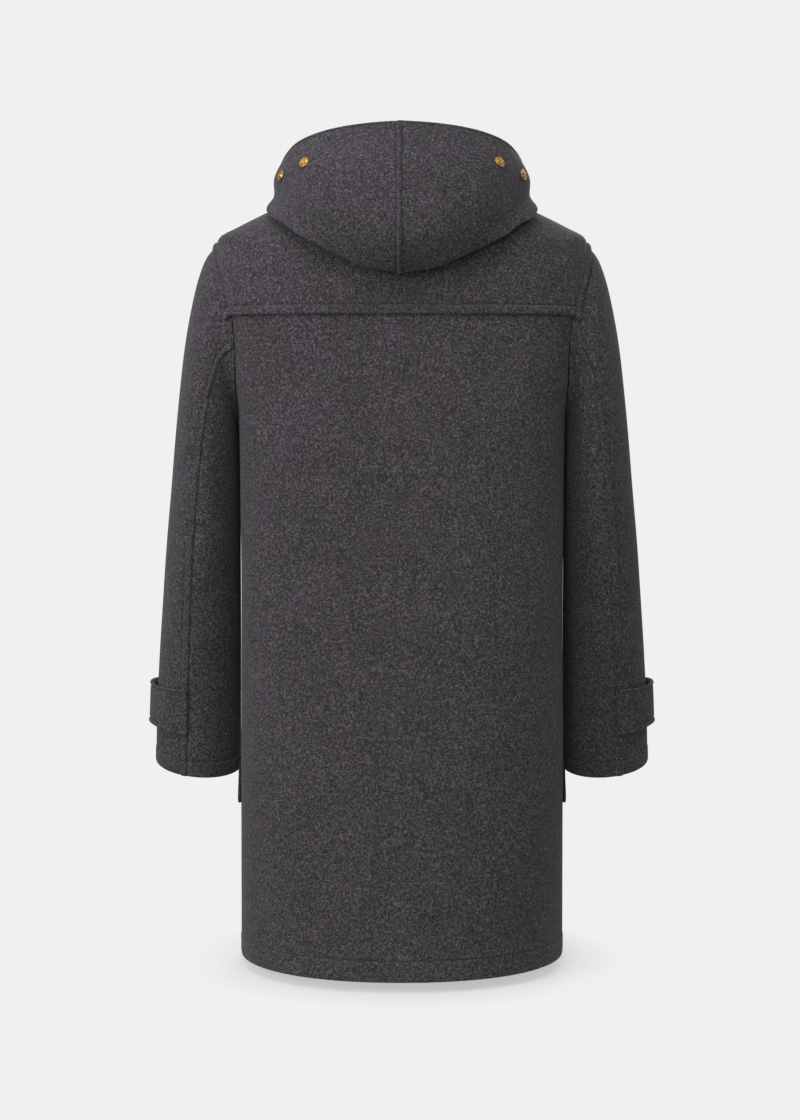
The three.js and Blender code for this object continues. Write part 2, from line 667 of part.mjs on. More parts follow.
const tabSteps = 2 * ARMHOLE_STEPS + TAB_LAST_STEP - BACK_SEAM_STEP;
const TAB_FIRST_SHARE = 0.004;
const tabShares = [TAB_FIRST_SHARE, ...range(1, tabSteps).map((k) => k / tabSteps)];
const tab = wall(gridOf([1, 0, -1], tabShares, (across, share) => tabPoint(share, across)));
add("cuff_tab_left", tab, WOOL);
add("cuff_tab_right", mirrored(tab), WOOL);

const buttonSeat = tabPoint(TAB_BUTTON_SHARE, 0);
const { radius: buttonRadius, thick, dish, rimWidth, rimSlope } = TAB_BUTTON;
const dishRadius = buttonRadius - rimWidth - rimSlope;
const buttonProfile = [
  [0, 0],
  [buttonRadius, 0],
  [buttonRadius, thick],
  [buttonRadius - rimWidth, thick],
  [dishRadius, thick - dish],
  [0, thick - dish],
];
const buttonPlace = buttonSeat.outer.clone().addScaledVector(buttonSeat.normal, PATCH_REST);
const cuffButton = turnedOn(buttonProfile, 20, buttonPlace, buttonSeat.normal);
add("cuff_button_left", cuffButton, HORN);
add("cuff_button_right", mirrored(cuffButton), HORN);

// A point on a front panel's faces, by level and column, so that what lies on it fits its faces.
function onPanel(grid, level, column) {
  const below = BODY_ROWS.findIndex((row) => row.level <= level);
  const [upper, lower] = [BODY_ROWS[below - 1], BODY_ROWS[below]];
  const down = (level - upper.level) / (lower.level - upper.level);
  const left = Math.min(Math.floor(column), grid[0].length - 2);
  const mix = (field) => {
    const line = (r) => grid[r][left][field].clone().lerp(grid[r][left + 1][field], column - left);
    return line(below - 1).lerp(line(below), down);
  };
  return { place: mix("outer"), normal: mix("normal").normalize() };
}

// The values from first to last, with those of a list that lie between them.
function cells(first, last, lines) {
  const [low, high] = [Math.min(first, last), Math.max(first, last)];
  const between = lines.filter((line) => line > low + 0.02 && line < high - 0.02);
  const sorted = [...between].sort((a, b) => a - b);
  return [first, ...(first < last ? sorted : sorted.reverse()), last];
}

// A patch of cloth laid on the front panel, its lower corners rounded.
function panelPatch({ top, bottom, first, last, corner, cornerWidth }, moreLevels, restAt) {
  const roundedLevels = [bottom + corner, bottom + corner * 0.5, bottom + corner * 0.15];
  const levels = cells(top, bottom, [...BODY_LEVELS, ...moreLevels, ...roundedLevels]);
  const columns = cells(first, last, FRONT_COLUMNS);
  return wall(gridOf(levels, columns, (level, column) => {
    const short = Math.max(0, corner - (level - bottom)) / corner;
    const cut = (cornerWidth * (1 - Math.sqrt(1 - short ** 2))) / COLUMN_WIDTH;
    const moved = column === first ? column + cut : column === last ? column - cut : column;
    const { place, normal } = onPanel(leftFrontGrid, level, moved);
    const rest = restAt(level);
    const inner = place.addScaledVector(normal, rest);
    return { outer: inner.clone().addScaledVector(normal, CLOTH), inner };
  }));
}

const flapRest = (level) => {
  const over = (1 - smooth(FLAP.fold, FLAP.top, level)) * (CLOTH + PATCH_REST);
  const hanging = Math.max(0, (FLAP.fold - level) / (FLAP.fold - FLAP.bottom));
  return PATCH_REST + over + FLAP_FLARE * hanging ** FLAP_FLARE_POWER;
};
const pocket = panelPatch(POCKET, [], () => PATCH_REST);
const flap = panelPatch(FLAP, [FLAP.fold], flapRest);
add("pocket_left", pocket, WOOL);
add("pocket_right", mirrored(pocket), WOOL);
add("pocket_flap_left", flap, WOOL);
add("pocket_flap_right", mirrored(flap), WOOL);

// Front fastenings: a leather patch on each front, a loop from the left one round a stem from the
// right one, and a horn toggle over both.
function frontAt(x, level, off) {
  const turn = turnAtFront(level, x);
  return torso(turn, level).addScaledVector(torsoNormal(turn, level), off);
}

function leatherPoint(x, level, rest) {
  return { outer: frontAt(x, level, rest + LEATHER), inner: frontAt(x, level, rest) };
}

function placketColumn(x) {
  return SIDE_COLUMNS + (PLACKET_COLUMNS * (PLACKET_REACH - x)) / (PLACKET_REACH + OVERLAP);
}

function patchGeometry(grid, level) {
  return wall(gridOf([1, 0, -1], [...PATCH].reverse(), (across, { x, half }) => {
    const { place, normal } = onPanel(grid, level + across * half, placketColumn(x));
    const inner = place.addScaledVector(normal, PATCH_REST);
    return { outer: inner.clone().addScaledVector(normal, LEATHER), inner };
  }));
}

// The loop's middle line: out along its upper run, round its end and back along its lower run.
function loopGeometry(level) {
  const straight = (x, side) => ({ x, z: side * LOOP.radius, outX: 0, outZ: side });
  const stations = [straight(LOOP.start, 1), straight(LOOP.bend, 1)];
  for (let i = 0; i <= LOOP.steps; i++) {
    const a = (Math.PI * i) / LOOP.steps;
    const [outX, outZ] = [-Math.sin(a), Math.cos(a)];
    stations.push({ x: LOOP.turn + LOOP.radius * outX, z: LOOP.radius * outZ, outX, outZ });
  }
  stations.push(straight(LOOP.bend, -1), straight(LOOP.start, -1));
  return wall(gridOf([LOOP.half, -LOOP.half], stations, (away, { x, z, outX, outZ }) => {
    const rest = PATCH_REST + (LEATHER + SEAM) * (1 - smooth(LOOP.liftedAt, LOOP.flatAt, x));
    return leatherPoint(x + away * outX, level + z + away * outZ, rest);
  }));
}

function stemGeometry(level) {
  return wall(gridOf([1, -1], [...STEM_STEPS].reverse(), (across, { x, rest }) =>
    leatherPoint(x, level + across * STEM_HALF, rest)));
}

FASTENING_LEVELS.forEach((level, i) => {
  const number = i + 1;
  add(`patch_left_${number}`, patchGeometry(leftFrontGrid, level), HIDE);
  add(`patch_right_${number}`, mirrored(patchGeometry(rightFrontGrid, level)), HIDE);
  add(`loop_${number}`, loopGeometry(level), HIDE);
  add(`stem_${number}`, stemGeometry(level), HIDE);
  const lift = PATCH_REST + 2 * (LEATHER + SEAM) + SEAM + TOGGLE.radius;
  const place = frontAt(TOGGLE.x, level, lift);
  const profile = TOGGLE_PROFILE.map(({ radius, along }) => [radius, (along * TOGGLE.length) / 2]);
  add(`toggle_${number}`, turnedOn(profile, 12, place, new THREE.Vector3(1, 0, 0)), HORN);
});

export default coat;
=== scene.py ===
"""A hooded wool duffle coat, filled out as if worn, dressed over its fixed frame.

Sizes are in millimetres, as a pattern cutter notes them, and meshes are made in metres.
The wearer faces -Y, the wearer's left is +X, and the origin is the centre of the neck base.
"""

import logging
import math
from collections.abc import Callable, Sequence
from dataclasses import dataclass, field
from enum import Enum

import bmesh
import bpy
import numpy as np
from mathutils import Matrix, Vector


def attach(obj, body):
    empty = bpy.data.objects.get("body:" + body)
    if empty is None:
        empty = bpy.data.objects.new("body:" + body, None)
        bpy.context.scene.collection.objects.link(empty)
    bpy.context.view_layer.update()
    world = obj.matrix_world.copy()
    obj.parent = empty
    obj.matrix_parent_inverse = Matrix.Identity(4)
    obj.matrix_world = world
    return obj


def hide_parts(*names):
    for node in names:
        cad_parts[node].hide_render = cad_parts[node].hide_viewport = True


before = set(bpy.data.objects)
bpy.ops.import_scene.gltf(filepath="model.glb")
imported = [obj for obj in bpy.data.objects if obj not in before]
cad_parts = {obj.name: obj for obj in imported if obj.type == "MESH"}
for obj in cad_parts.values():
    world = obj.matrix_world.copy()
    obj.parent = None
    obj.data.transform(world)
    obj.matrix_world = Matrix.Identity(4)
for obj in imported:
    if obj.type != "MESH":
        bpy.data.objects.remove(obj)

LOG = logging.getLogger("duffle_coat")
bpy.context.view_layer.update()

MM = 0.001
CLOTH = 3.0
LEATHER = 2.0
SEAM = 0.3
MERGE = 0.06
SHARP = math.radians(55)

Points = np.ndarray


class Side(Enum):
    """The wearer's left and right, as the sign of X."""

    LEFT = 1
    RIGHT = -1

    @property
    def word(self) -> str:
        """The side's name in the frame's nodes."""
        return self.name.lower()


def smooth(start: float, end: float, at: Points) -> Points:
    """Eases from 0 at start to 1 at end.

    Args:
        start: Where the rise starts.
        end: Where the rise ends, above start.
        at: The values to ease.

    Returns:
        The eased values.
    """
    share = np.clip((np.asarray(at, float) - start) / (end - start), 0.0, 1.0)
    return share * share * (3.0 - 2.0 * share)


def ridge(distance: Points, width: float) -> Points:
    """A soft ridge, 1 at its middle and 0 beyond its width.

    Args:
        distance: Distances from the middle line.
        width: Half the ridge's width.

    Returns:
        The ridge's height at each distance.
    """
    share = np.clip(1.0 - np.abs(distance) / width, 0.0, 1.0)
    return share * share * (3.0 - 2.0 * share)


def unit(vectors: Points) -> Points:
    """Vectors of length one along the last axis."""
    return vectors / np.maximum(np.linalg.norm(vectors, axis=-1, keepdims=True), 1e-12)


def steps(*spans: tuple[float, float, int]) -> Points:
    """Values along joined spans.

    Args:
        spans: Each span's start, end and number of steps.

    Returns:
        All values once, in order.
    """
    parts = [np.linspace(start, end, count + 1)[:-1] for start, end, count in spans]
    return np.concatenate([*parts, [spans[-1][1]]])


def spaced(start: float, end: float, step: float, *marks: float, fine: float = 0.9,
           reach: float = 4.0) -> Points:
    """Values from start to end, closer together round some marks.

    Args:
        start: The first value.
        end: The last value.
        step: The usual distance between values.
        marks: Where the values lie closer together.
        fine: Their distance there.
        reach: How far from a mark they stay close.

    Returns:
        The values in order.
    """
    along = np.linspace(start, end, 6000)
    gap = np.full_like(along, step)
    for mark in marks:
        gap = np.minimum(gap, fine + (step - fine) * smooth(reach, reach * 3, np.abs(along - mark)))
    pace = np.cumsum(abs(along[1] - along[0]) / gap)
    pace = (pace - pace[0]) / (pace[-1] - pace[0])
    count = math.ceil(float(np.sum(abs(along[1] - along[0]) / gap)))
    return np.interp(np.linspace(0, 1, count + 1), pace, along)


def placed(name: str, data: bpy.types.ID) -> bpy.types.Object:
    """An object of the scene with some data."""
    made = bpy.data.objects.new(name, data)
    bpy.context.scene.collection.objects.link(made)
    return made


Surface = Callable[[Points, Points], Points]


def across(surface: Surface, u: Points, v: Points, du: float, dv: float) -> Points:
    """The normals of a surface of two variables.

    Args:
        surface: The surface's points by u and v.
        u: First variable.
        v: Second variable.
        du: Step along the first variable.
        dv: Step along the second variable.

    Returns:
        Unit normals.
    """
    along = surface(u, v + dv) - surface(u, v - dv)
    return unit(np.cross(along, surface(u + du, v) - surface(u - du, v)))


class Measures:
    """A table of measures that is read smoothly between its rows."""

    def __init__(self, columns: str, *rows: tuple[float, ...]) -> None:
        """Sorts the rows by their first column.

        Args:
            columns: The columns' names, the key first.
            rows: The rows' numbers.
        """
        table = np.array(sorted(rows), float)
        self.keys = table[:, 0]
        self.columns = dict(zip(columns.split()[1:], table[:, 1:].T))

    def at(self, column: str, key: Points) -> Points:
        """Reads one column at any key, never beyond the rows beside it.

        Args:
            column: The column's name.
            key: Where to read.

        Returns:
            The measure at each key.
        """
        x, y = self.keys, self.columns[column]
        key = np.asarray(key, float)
        rate = np.diff(y) / np.diff(x)
        total = np.where(rate[:-1] + rate[1:] == 0, 1.0, rate[:-1] + rate[1:])
        inside = np.where(rate[:-1] * rate[1:] <= 0, 0.0, 2 * rate[:-1] * rate[1:] / total)
        slope = np.concatenate(([rate[0]], inside, [rate[-1]]))
        i = np.clip(np.searchsorted(x, key, side="left") - 1, 0, len(x) - 2)
        step = x[i + 1] - x[i]
        s = np.clip((key - x[i]) / step, 0.0, 1.0)
        along = s * s * (3 - 2 * s)
        ends = slope[i] * s * (1 - s) ** 2 - slope[i + 1] * s * s * (1 - s)
        return y[i] * (1 - along) + y[i + 1] * along + ends * step


@dataclass(frozen=True)
class Crease:
    """A soft trough in the cloth along a bent line, or a ridge where its depth is negative."""

    line: tuple[tuple[float, float, float], ...]
    width: float
    depth: float

    def press(self, place: Points) -> Points:
        """How far the crease moves each point outwards.

        Args:
            place: Points of the cloth.

        Returns:
            Offsets along the normals.
        """
        line = np.array(self.line, float)
        lengths = np.linalg.norm(np.diff(line, axis=0), axis=1)
        starts = np.concatenate(([0.0], np.cumsum(lengths)))
        nearest = np.full(place.shape[:-1], 1e9)
        share = np.zeros(place.shape[:-1])
        for start, end, length, before in zip(line, line[1:], lengths, starts):
            along = np.clip((place - start) @ (end - start) / length**2, 0.0, 1.0)
            away = np.linalg.norm(place - start - along[..., None] * (end - start), axis=-1)
            closer = away < nearest
            share = np.where(closer, (before + along * length) / starts[-1], share)
            nearest = np.where(closer, away, nearest)
        uneven = 0.82 + 0.18 * np.sin(9.0 * share + self.width)
        return -self.depth * uneven * ridge(nearest, self.width) * np.sin(np.pi * share) ** 0.6


@dataclass(frozen=True)
class BodyForm:
    """The filled-out body of the coat: its neck, shoulders, chest and skirt."""

    neck_edge: float = 8.0
    shoulder: float = -73.0
    yoke_edge: float = -171.0
    underarm: float = -300.0
    hem: float = -970.0
    neck_drop_back: float = 18.0
    neck_drop_front: float = 83.0
    armhole_back: float = 80.0
    armhole_front: float = 70.0
    seam_turn: float = 0.0015
    overlap: float = 38.0
    placket_reach: float = 92.0
    placket_share: float = 0.73
    soft_bottom: float = -385.0
    sections: Measures = field(default_factory=lambda: Measures(
        "level half back front power",
        (8, 85, 72, 72, 2.0), (-6, 103, 76, 75, 2.2), (-20, 128, 81, 79, 2.5), (-40, 170, 90, 87, 2.8),
        (-58, 205, 97, 93, 3.0), (-73, 229, 102, 98, 3.2), (-120, 232, 112, 109, 3.4),
        (-171, 229, 118, 118, 3.4), (-240, 217, 124, 127, 3.3), (-300, 205, 128, 132, 3.2),
        (-500, 203, 132, 136, 3.0), (-970, 203, 150, 149, 2.15)))
    creases: tuple[Crease, ...] = (
        Crease(((150, 118, -330), (120, 128, -400), (104, 134, -520)), 34, 1.6),
        Crease(((-158, 116, -322), (-132, 126, -410), (-118, 134, -560)), 36, 1.7),
        Crease(((52, 140, -640), (64, 146, -800), (72, 152, -960)), 42, 1.5),
        Crease(((-74, 140, -600), (-88, 146, -780), (-98, 150, -962)), 44, 1.8),
        Crease(((150, -118, -330), (126, -128, -420), (112, -136, -560)), 34, 1.8),
        Crease(((-150, -118, -330), (-124, -128, -430), (-110, -136, -580)), 36, 1.7),
        Crease(((20, -140, -700), (34, -146, -830), (40, -150, -960)), 36, 1.6),
        Crease(((-70, -140, -690), (-84, -144, -820), (-92, -147, -960)), 40, 1.9),
        Crease(((196, 30, -420), (199, 24, -560), (198, 20, -700)), 30, 1.2),
        Crease(((-196, 26, -440), (-199, 20, -580), (-198, 16, -720)), 30, 1.3),
    )

    @property
    def armhole_middle(self) -> float:
        """The level of the armhole's middle."""
        return (self.shoulder + self.underarm) / 2

    @property
    def armhole_half(self) -> float:
        """Half the armhole's height."""
        return (self.shoulder - self.underarm) / 2

    @property
    def yoke_angle(self) -> float:
        """The armhole's angle at the yoke's edge."""
        return math.acos((self.armhole_middle - self.yoke_edge) / self.armhole_half)

    @property
    def soft_angle(self) -> float:
        """The armhole's angle below which the panel's inner columns run softly."""
        return self.yoke_angle * 0.8

    def point(self, turn: Points, level: Points) -> Points:
        """A point of the body. Turn 0 is the centre back and a quarter turn the left side.

        Args:
            turn: Angle round the body.
            level: Height on the body before its neck drops.

        Returns:
            Points in millimetres.
        """
        s, c = np.sin(turn), np.cos(turn)
        half, power = self.sections.at("half", level), self.sections.at("power", level)
        depth = np.where(c > 0, self.sections.at("back", level), self.sections.at("front", level))
        size = (np.abs(s) ** power + np.abs(c) ** power) ** (1 / power)
        rise = smooth(self.yoke_edge, self.neck_edge, level)
        drop = rise * np.abs(c) ** 1.5 * np.where(c > 0, self.neck_drop_back, self.neck_drop_front)
        return np.stack((half * s / size, depth * c / size, level - drop), axis=-1)

    def normal(self, turn: Points, level: Points) -> Points:
        """The outward normal of the body."""
        return across(self.point, turn, level, 0.004, 1.0)

    def turn_at_depth(self, level: Points, y: Points) -> Points:
        """The turn where the left side of a section lies y behind the side seam."""
        depth = np.where(y > 0, self.sections.at("back", level), self.sections.at("front", level))
        power = self.sections.at("power", level)
        share = np.clip(np.abs(y / depth), 0.0, 1.0)
        return np.arctan2((1 - share**power) ** (1 / power), y / depth)

    def turn_at_front(self, level: Points, x: Points) -> Points:
        """The turn where the front of a section lies x beside the centre front."""
        share = x / self.sections.at("half", level)
        power = self.sections.at("power", level)
        return np.pi + np.arctan2(-share, (1 - np.abs(share) ** power) ** (1 / power))

    def armhole_level(self, angle: Points) -> Points:
        """The armhole's level: angle 0 is the underarm and half a turn the shoulder."""
        return self.armhole_middle - self.armhole_half * np.cos(angle)

    def armhole_turn(self, angle: Points) -> Points:
        """The armhole's turn round the body by its angle, which is negative in front."""
        s = np.sin(angle)
        reach = np.where(s > 0, self.armhole_back, self.armhole_front)
        return self.turn_at_depth(self.armhole_level(angle), s * reach)

    def armhole_angle(self, level: Points) -> Points:
        """The armhole's angle at a level."""
        return np.arccos(np.clip((self.armhole_middle - level) / self.armhole_half, -1.0, 1.0))

    def edge_turn(self, level: Points, side: int, gap: float = 1.0) -> Points:
        """The turn of a panel's side edge: 1 for the back panel's and -1 for a front's."""
        beside = self.armhole_turn(side * self.armhole_angle(level)) - side * self.seam_turn * gap
        plain = np.pi / 2 - side * gap * SEAM / 2 / self.sections.at("half", level)
        return np.where((level >= self.underarm) & (level <= self.shoulder), beside, plain)

    def soft_turn(self, level: Points, side: int, share: Points, gap: float = 1.0) -> Points:
        """The turn that a panel's column follows, softer than the armhole inside the panel."""
        edge = self.edge_turn(level, side, gap)
        top = self.armhole_level(self.soft_angle)
        inner = self.armhole_turn(np.asarray(side * self.soft_angle))
        soft = np.pi / 2 + (inner - np.pi / 2) * smooth(self.soft_bottom, top, level)
        within = (level <= top) & (level >= self.soft_bottom)
        return np.where(within, soft + (edge - soft) * share**6, edge)

    def front_turn(self, level: Points, column: Points, gap: float = 1.0) -> Points:
        """The turn of a front panel's column, 0 at its side, 5 beside the placket, 10 at its edge."""
        start = self.soft_turn(level, -1, np.clip(1 - column / 5, 0.0, 1.0), gap)
        reach = np.minimum(self.placket_reach, self.placket_share * self.sections.at("half", level))
        side = start + (self.turn_at_front(level, reach) - start) * column / 5
        over = reach - (self.overlap + reach) * (column - 5) / 5
        return np.where(column <= 5, side, self.turn_at_front(level, over))

    def under_depth(self, level: Points, column: Points) -> Points:
        """How deep the right front lies under the left one."""
        depth = np.where(level > self.yoke_edge - 1, 2 * CLOTH + SEAM + 1.5, CLOTH + 0.7)
        return depth * smooth(5, 6, column)

    def drape(self, place: Points) -> Points:
        """How far the body's soft creases move points outwards."""
        return sum(crease.press(place) for crease in self.creases)


@dataclass(frozen=True)
class SleeveForm:
    """The left sleeve's form, from the armhole at ring 0 to the cuff at ring 12."""

    body: BodyForm
    rings: int = 12
    fade_rings: int = 3
    drift: float = 0.38
    seam_angle: float = 0.0035
    sections: Measures = field(default_factory=lambda: Measures(
        "ring inner_x inner_z outer_x outer_z shift depth pitch",
        (0, 205, -300, 229, -73, 5, 75, 0), (1, 208, -304, 247, -93, 2, 75, 0),
        (2, 207.5, -310, 258, -122, 1, 76, 0), (3, 207, -318, 267, -160, 0, 76, 0),
        (4, 206.5, -329, 275, -207, 0, 75, 0), (5, 206, -345, 281, -258, -1, 74, 0.01),
        (6, 205.8, -370, 287, -318, -3, 72, 0.02), (7, 205.8, -412, 293, -386, -7, 69, 0.05),
        (8, 206, -470, 300, -458, -14, 65, 0.09), (9, 206.3, -536, 306, -532, -23, 61, 0.13),
        (10, 207, -606, 311.5, -602, -33, 58, 0.16), (11, 207.7, -674, 315.5, -667, -42, 56, 0.19),
        (12, 208.4, -747, 318, -736, -50, 54, 0.2)))

    def ellipse(self, turned: Points, ring: Points) -> Points:
        """A ring of the sleeve before it is drawn to the armhole."""
        at = self.sections.at
        reach = (1 - np.cos(turned)) / 2
        y = np.sin(turned) * at("depth", ring)
        x = at("inner_x", ring) * (1 - reach) + at("outer_x", ring) * reach
        z = at("inner_z", ring) * (1 - reach) + at("outer_z", ring) * reach
        return np.stack((x, at("shift", ring) + y, z - y * at("pitch", ring)), axis=-1)

    def point(self, angle: Points, ring: Points) -> Points:
        """A point of the left sleeve: angle 0 is its inside and a quarter turn its back.

        Args:
            angle: Angle round the arm.
            ring: Place along the arm.

        Returns:
            Points in millimetres.
        """
        turned = angle + self.drift * smooth(1, self.rings - 3, ring) * np.sin(angle)
        edge = self.body.point(self.body.armhole_turn(angle), self.body.armhole_level(angle))
        edge = edge - self.ellipse(angle, np.zeros_like(ring))
        fade = 1 - smooth(0, self.fade_rings, ring)
        return self.ellipse(turned, ring) + edge * (fade * fade)[..., None]

    def normal(self, angle: Points, ring: Points) -> Points:
        """The outward normal of the left sleeve."""
        return -across(self.point, angle, np.clip(ring, 0.02, self.rings - 0.02), 0.01, 0.02)

    def ring_at(self, angle: Points, z: Points) -> Points:
        """The ring where the sleeve has a height, at one angle round the arm."""
        low, high = np.zeros_like(angle), np.full_like(angle, float(self.rings))
        for _ in range(30):
            ring = (low + high) / 2
            above = self.point(angle, ring)[..., 2] > z
            low, high = np.where(above, ring, low), np.where(above, high, ring)
        return low


@dataclass(frozen=True)
class HoodForm:
    """The hood as it lies on the shoulders: up from the neck, down inside, and up to its rim."""

    body: BodyForm
    roll: tuple[tuple[float, float], ...] = ((-0.4, 4.5), (0.9, 9.0), (4.6, 9.8), (8.6, 5.4))
    sections: Measures = field(default_factory=lambda: Measures(
        "angle lay fold_level fold_off bulge_r bulge_z middle_r middle_z rim_r rim_z",
        (0, 5.6, -124, 27, 171, -84, 162, -12, 128, 62), (20, 5.6, -117, 27, 171, -76, 163, -9, 131, 59.5),
        (40, 6.6, -94, 25, 173, -54, 168, 0, 140, 54), (60, 7.2, -60, 18, 171, -34, 169, 4, 152, 41),
        (80, 7.6, -36, 13, 163, -18, 163, 2, 154, 20), (100, 7.6, -28, 12, 152, -14, 154, -6, 147, 0),
        (120, 7.4, -24, 11, 136, -36, 138, -29, 132, -23), (140, 6.6, -20, 10, 118, -62, 120, -54, 115, -47),
        (160, 6.2, -14, 9, 102, -80, 104, -73, 100, -67), (179, 6.2, -10, 8, 96, -86, 98, -80, 94, -75)))

    def guides(self, angle: Points) -> Points:
        """The points that a column of the hood passes through, from the neck seam to the rim."""
        at = self.sections.at
        turned = np.radians(angle)
        radial = np.stack((np.sin(turned), np.cos(turned), np.zeros_like(turned)), axis=-1)

        def on_body(level: Points, off: Points) -> Points:
            """A point beside the body, at a level and a distance off it."""
            half = self.body.sections.at("half", level)
            depths = [self.body.sections.at(name, level) for name in ("back", "front")]
            depth = np.where(radial[..., 1] > 0, *depths)
            turn = np.arctan2(radial[..., 0] / half, radial[..., 1] / depth)
            normal = self.body.normal(turn, np.minimum(level, self.body.neck_edge - 1))
            return self.body.point(turn, level) + normal * np.asarray(off)[..., None]

        edge = np.full_like(turned, self.body.neck_edge)
        up = unit(on_body(edge, 0.0 * edge) - on_body(edge - 2, 0.0 * edge))
        base = on_body(edge, 0.0 * edge + CLOTH) + up * (SEAM + 0.1)
        path = [base]
        for out, lift in self.roll:
            path.append(base + radial * out + np.array([0, 0, lift]))
        fold = at("fold_level", angle)
        for share, more in ((0.35, 0.0), (0.7, 1.0)):
            path.append(on_body(edge + (fold - edge) * share, at("lay", angle) + more))
        path.append(on_body(fold, at("fold_off", angle)))
        for name in ("bulge", "middle", "rim"):
            height = np.stack((0 * turned, 0 * turned, at(f"{name}_z", angle)), axis=-1)
            path.append(radial * at(f"{name}_r", angle)[..., None] + height)
        return np.stack(path, axis=-2)

    def point(self, angle: Points, station: Points) -> Points:
        """A point of the hood's left half.

        Args:
            angle: Degrees from the centre back.
            station: Place from the neck seam, 0, to the rim, 10.

        Returns:
            Points in millimetres.
        """
        angle, station = np.broadcast_arrays(np.asarray(angle, float), np.asarray(station, float))
        path = self.guides(np.abs(angle))
        path = np.concatenate((2 * path[..., :1, :] - path[..., 1:2, :], path,
                               2 * path[..., -1:, :] - path[..., -2:-1, :]), axis=-2)
        low = np.clip(np.floor(station).astype(int), 0, 9)
        share = (np.clip(station, 0, 10) - low)[..., None]
        p = [np.take_along_axis(path, (low + k)[..., None, None], axis=-2)[..., 0, :] for k in range(4)]
        gaps = [np.linalg.norm(b - a, axis=-1, keepdims=True) ** 0.5 for a, b in zip(p, p[1:])]
        d0, d1, d2 = [np.maximum(gap, 1e-4) for gap in gaps]
        start = ((p[1] - p[0]) / d0 - (p[2] - p[0]) / (d0 + d1) + (p[2] - p[1]) / d1) * d1
        end = ((p[2] - p[1]) / d1 - (p[3] - p[1]) / (d1 + d2) + (p[3] - p[2]) / d2) * d1
        cubic = 2 * p[1] - 2 * p[2] + start + end
        square = -3 * p[1] + 3 * p[2] - 2 * start - end
        place = p[1] + start * share + square * share**2 + cubic * share**3
        place[..., 0] *= np.where(angle < 0, -1, 1)
        return place

    def normal(self, angle: Points, station: Points) -> Points:
        """The outward normal of the hood."""
        return across(self.point, angle, np.clip(station, 0.02, 9.98), 0.3, 0.02)


@dataclass(frozen=True)
class Patch:
    """One grid of a piece of cloth: its outer points and their outward directions."""

    place: Points
    out: Points

    def raised(self, height: Points | float) -> "Patch":
        """The same grid, moved outwards."""
        heights = np.broadcast_to(height, self.place.shape[:-1])
        return Patch(self.place + self.out * heights[..., None], self.out)

    def on(self, side: Side) -> "Patch":
        """The same grid on the wearer's other side where the side asks for it."""
        flip = np.array([side.value, 1, 1])
        return Patch(self.place * flip, self.out * flip)

    @staticmethod
    def joined(parts: Sequence["Patch"]) -> "Patch":
        """Grids joined one below the other."""
        return Patch(np.concatenate([p.place for p in parts]), np.concatenate([p.out for p in parts]))


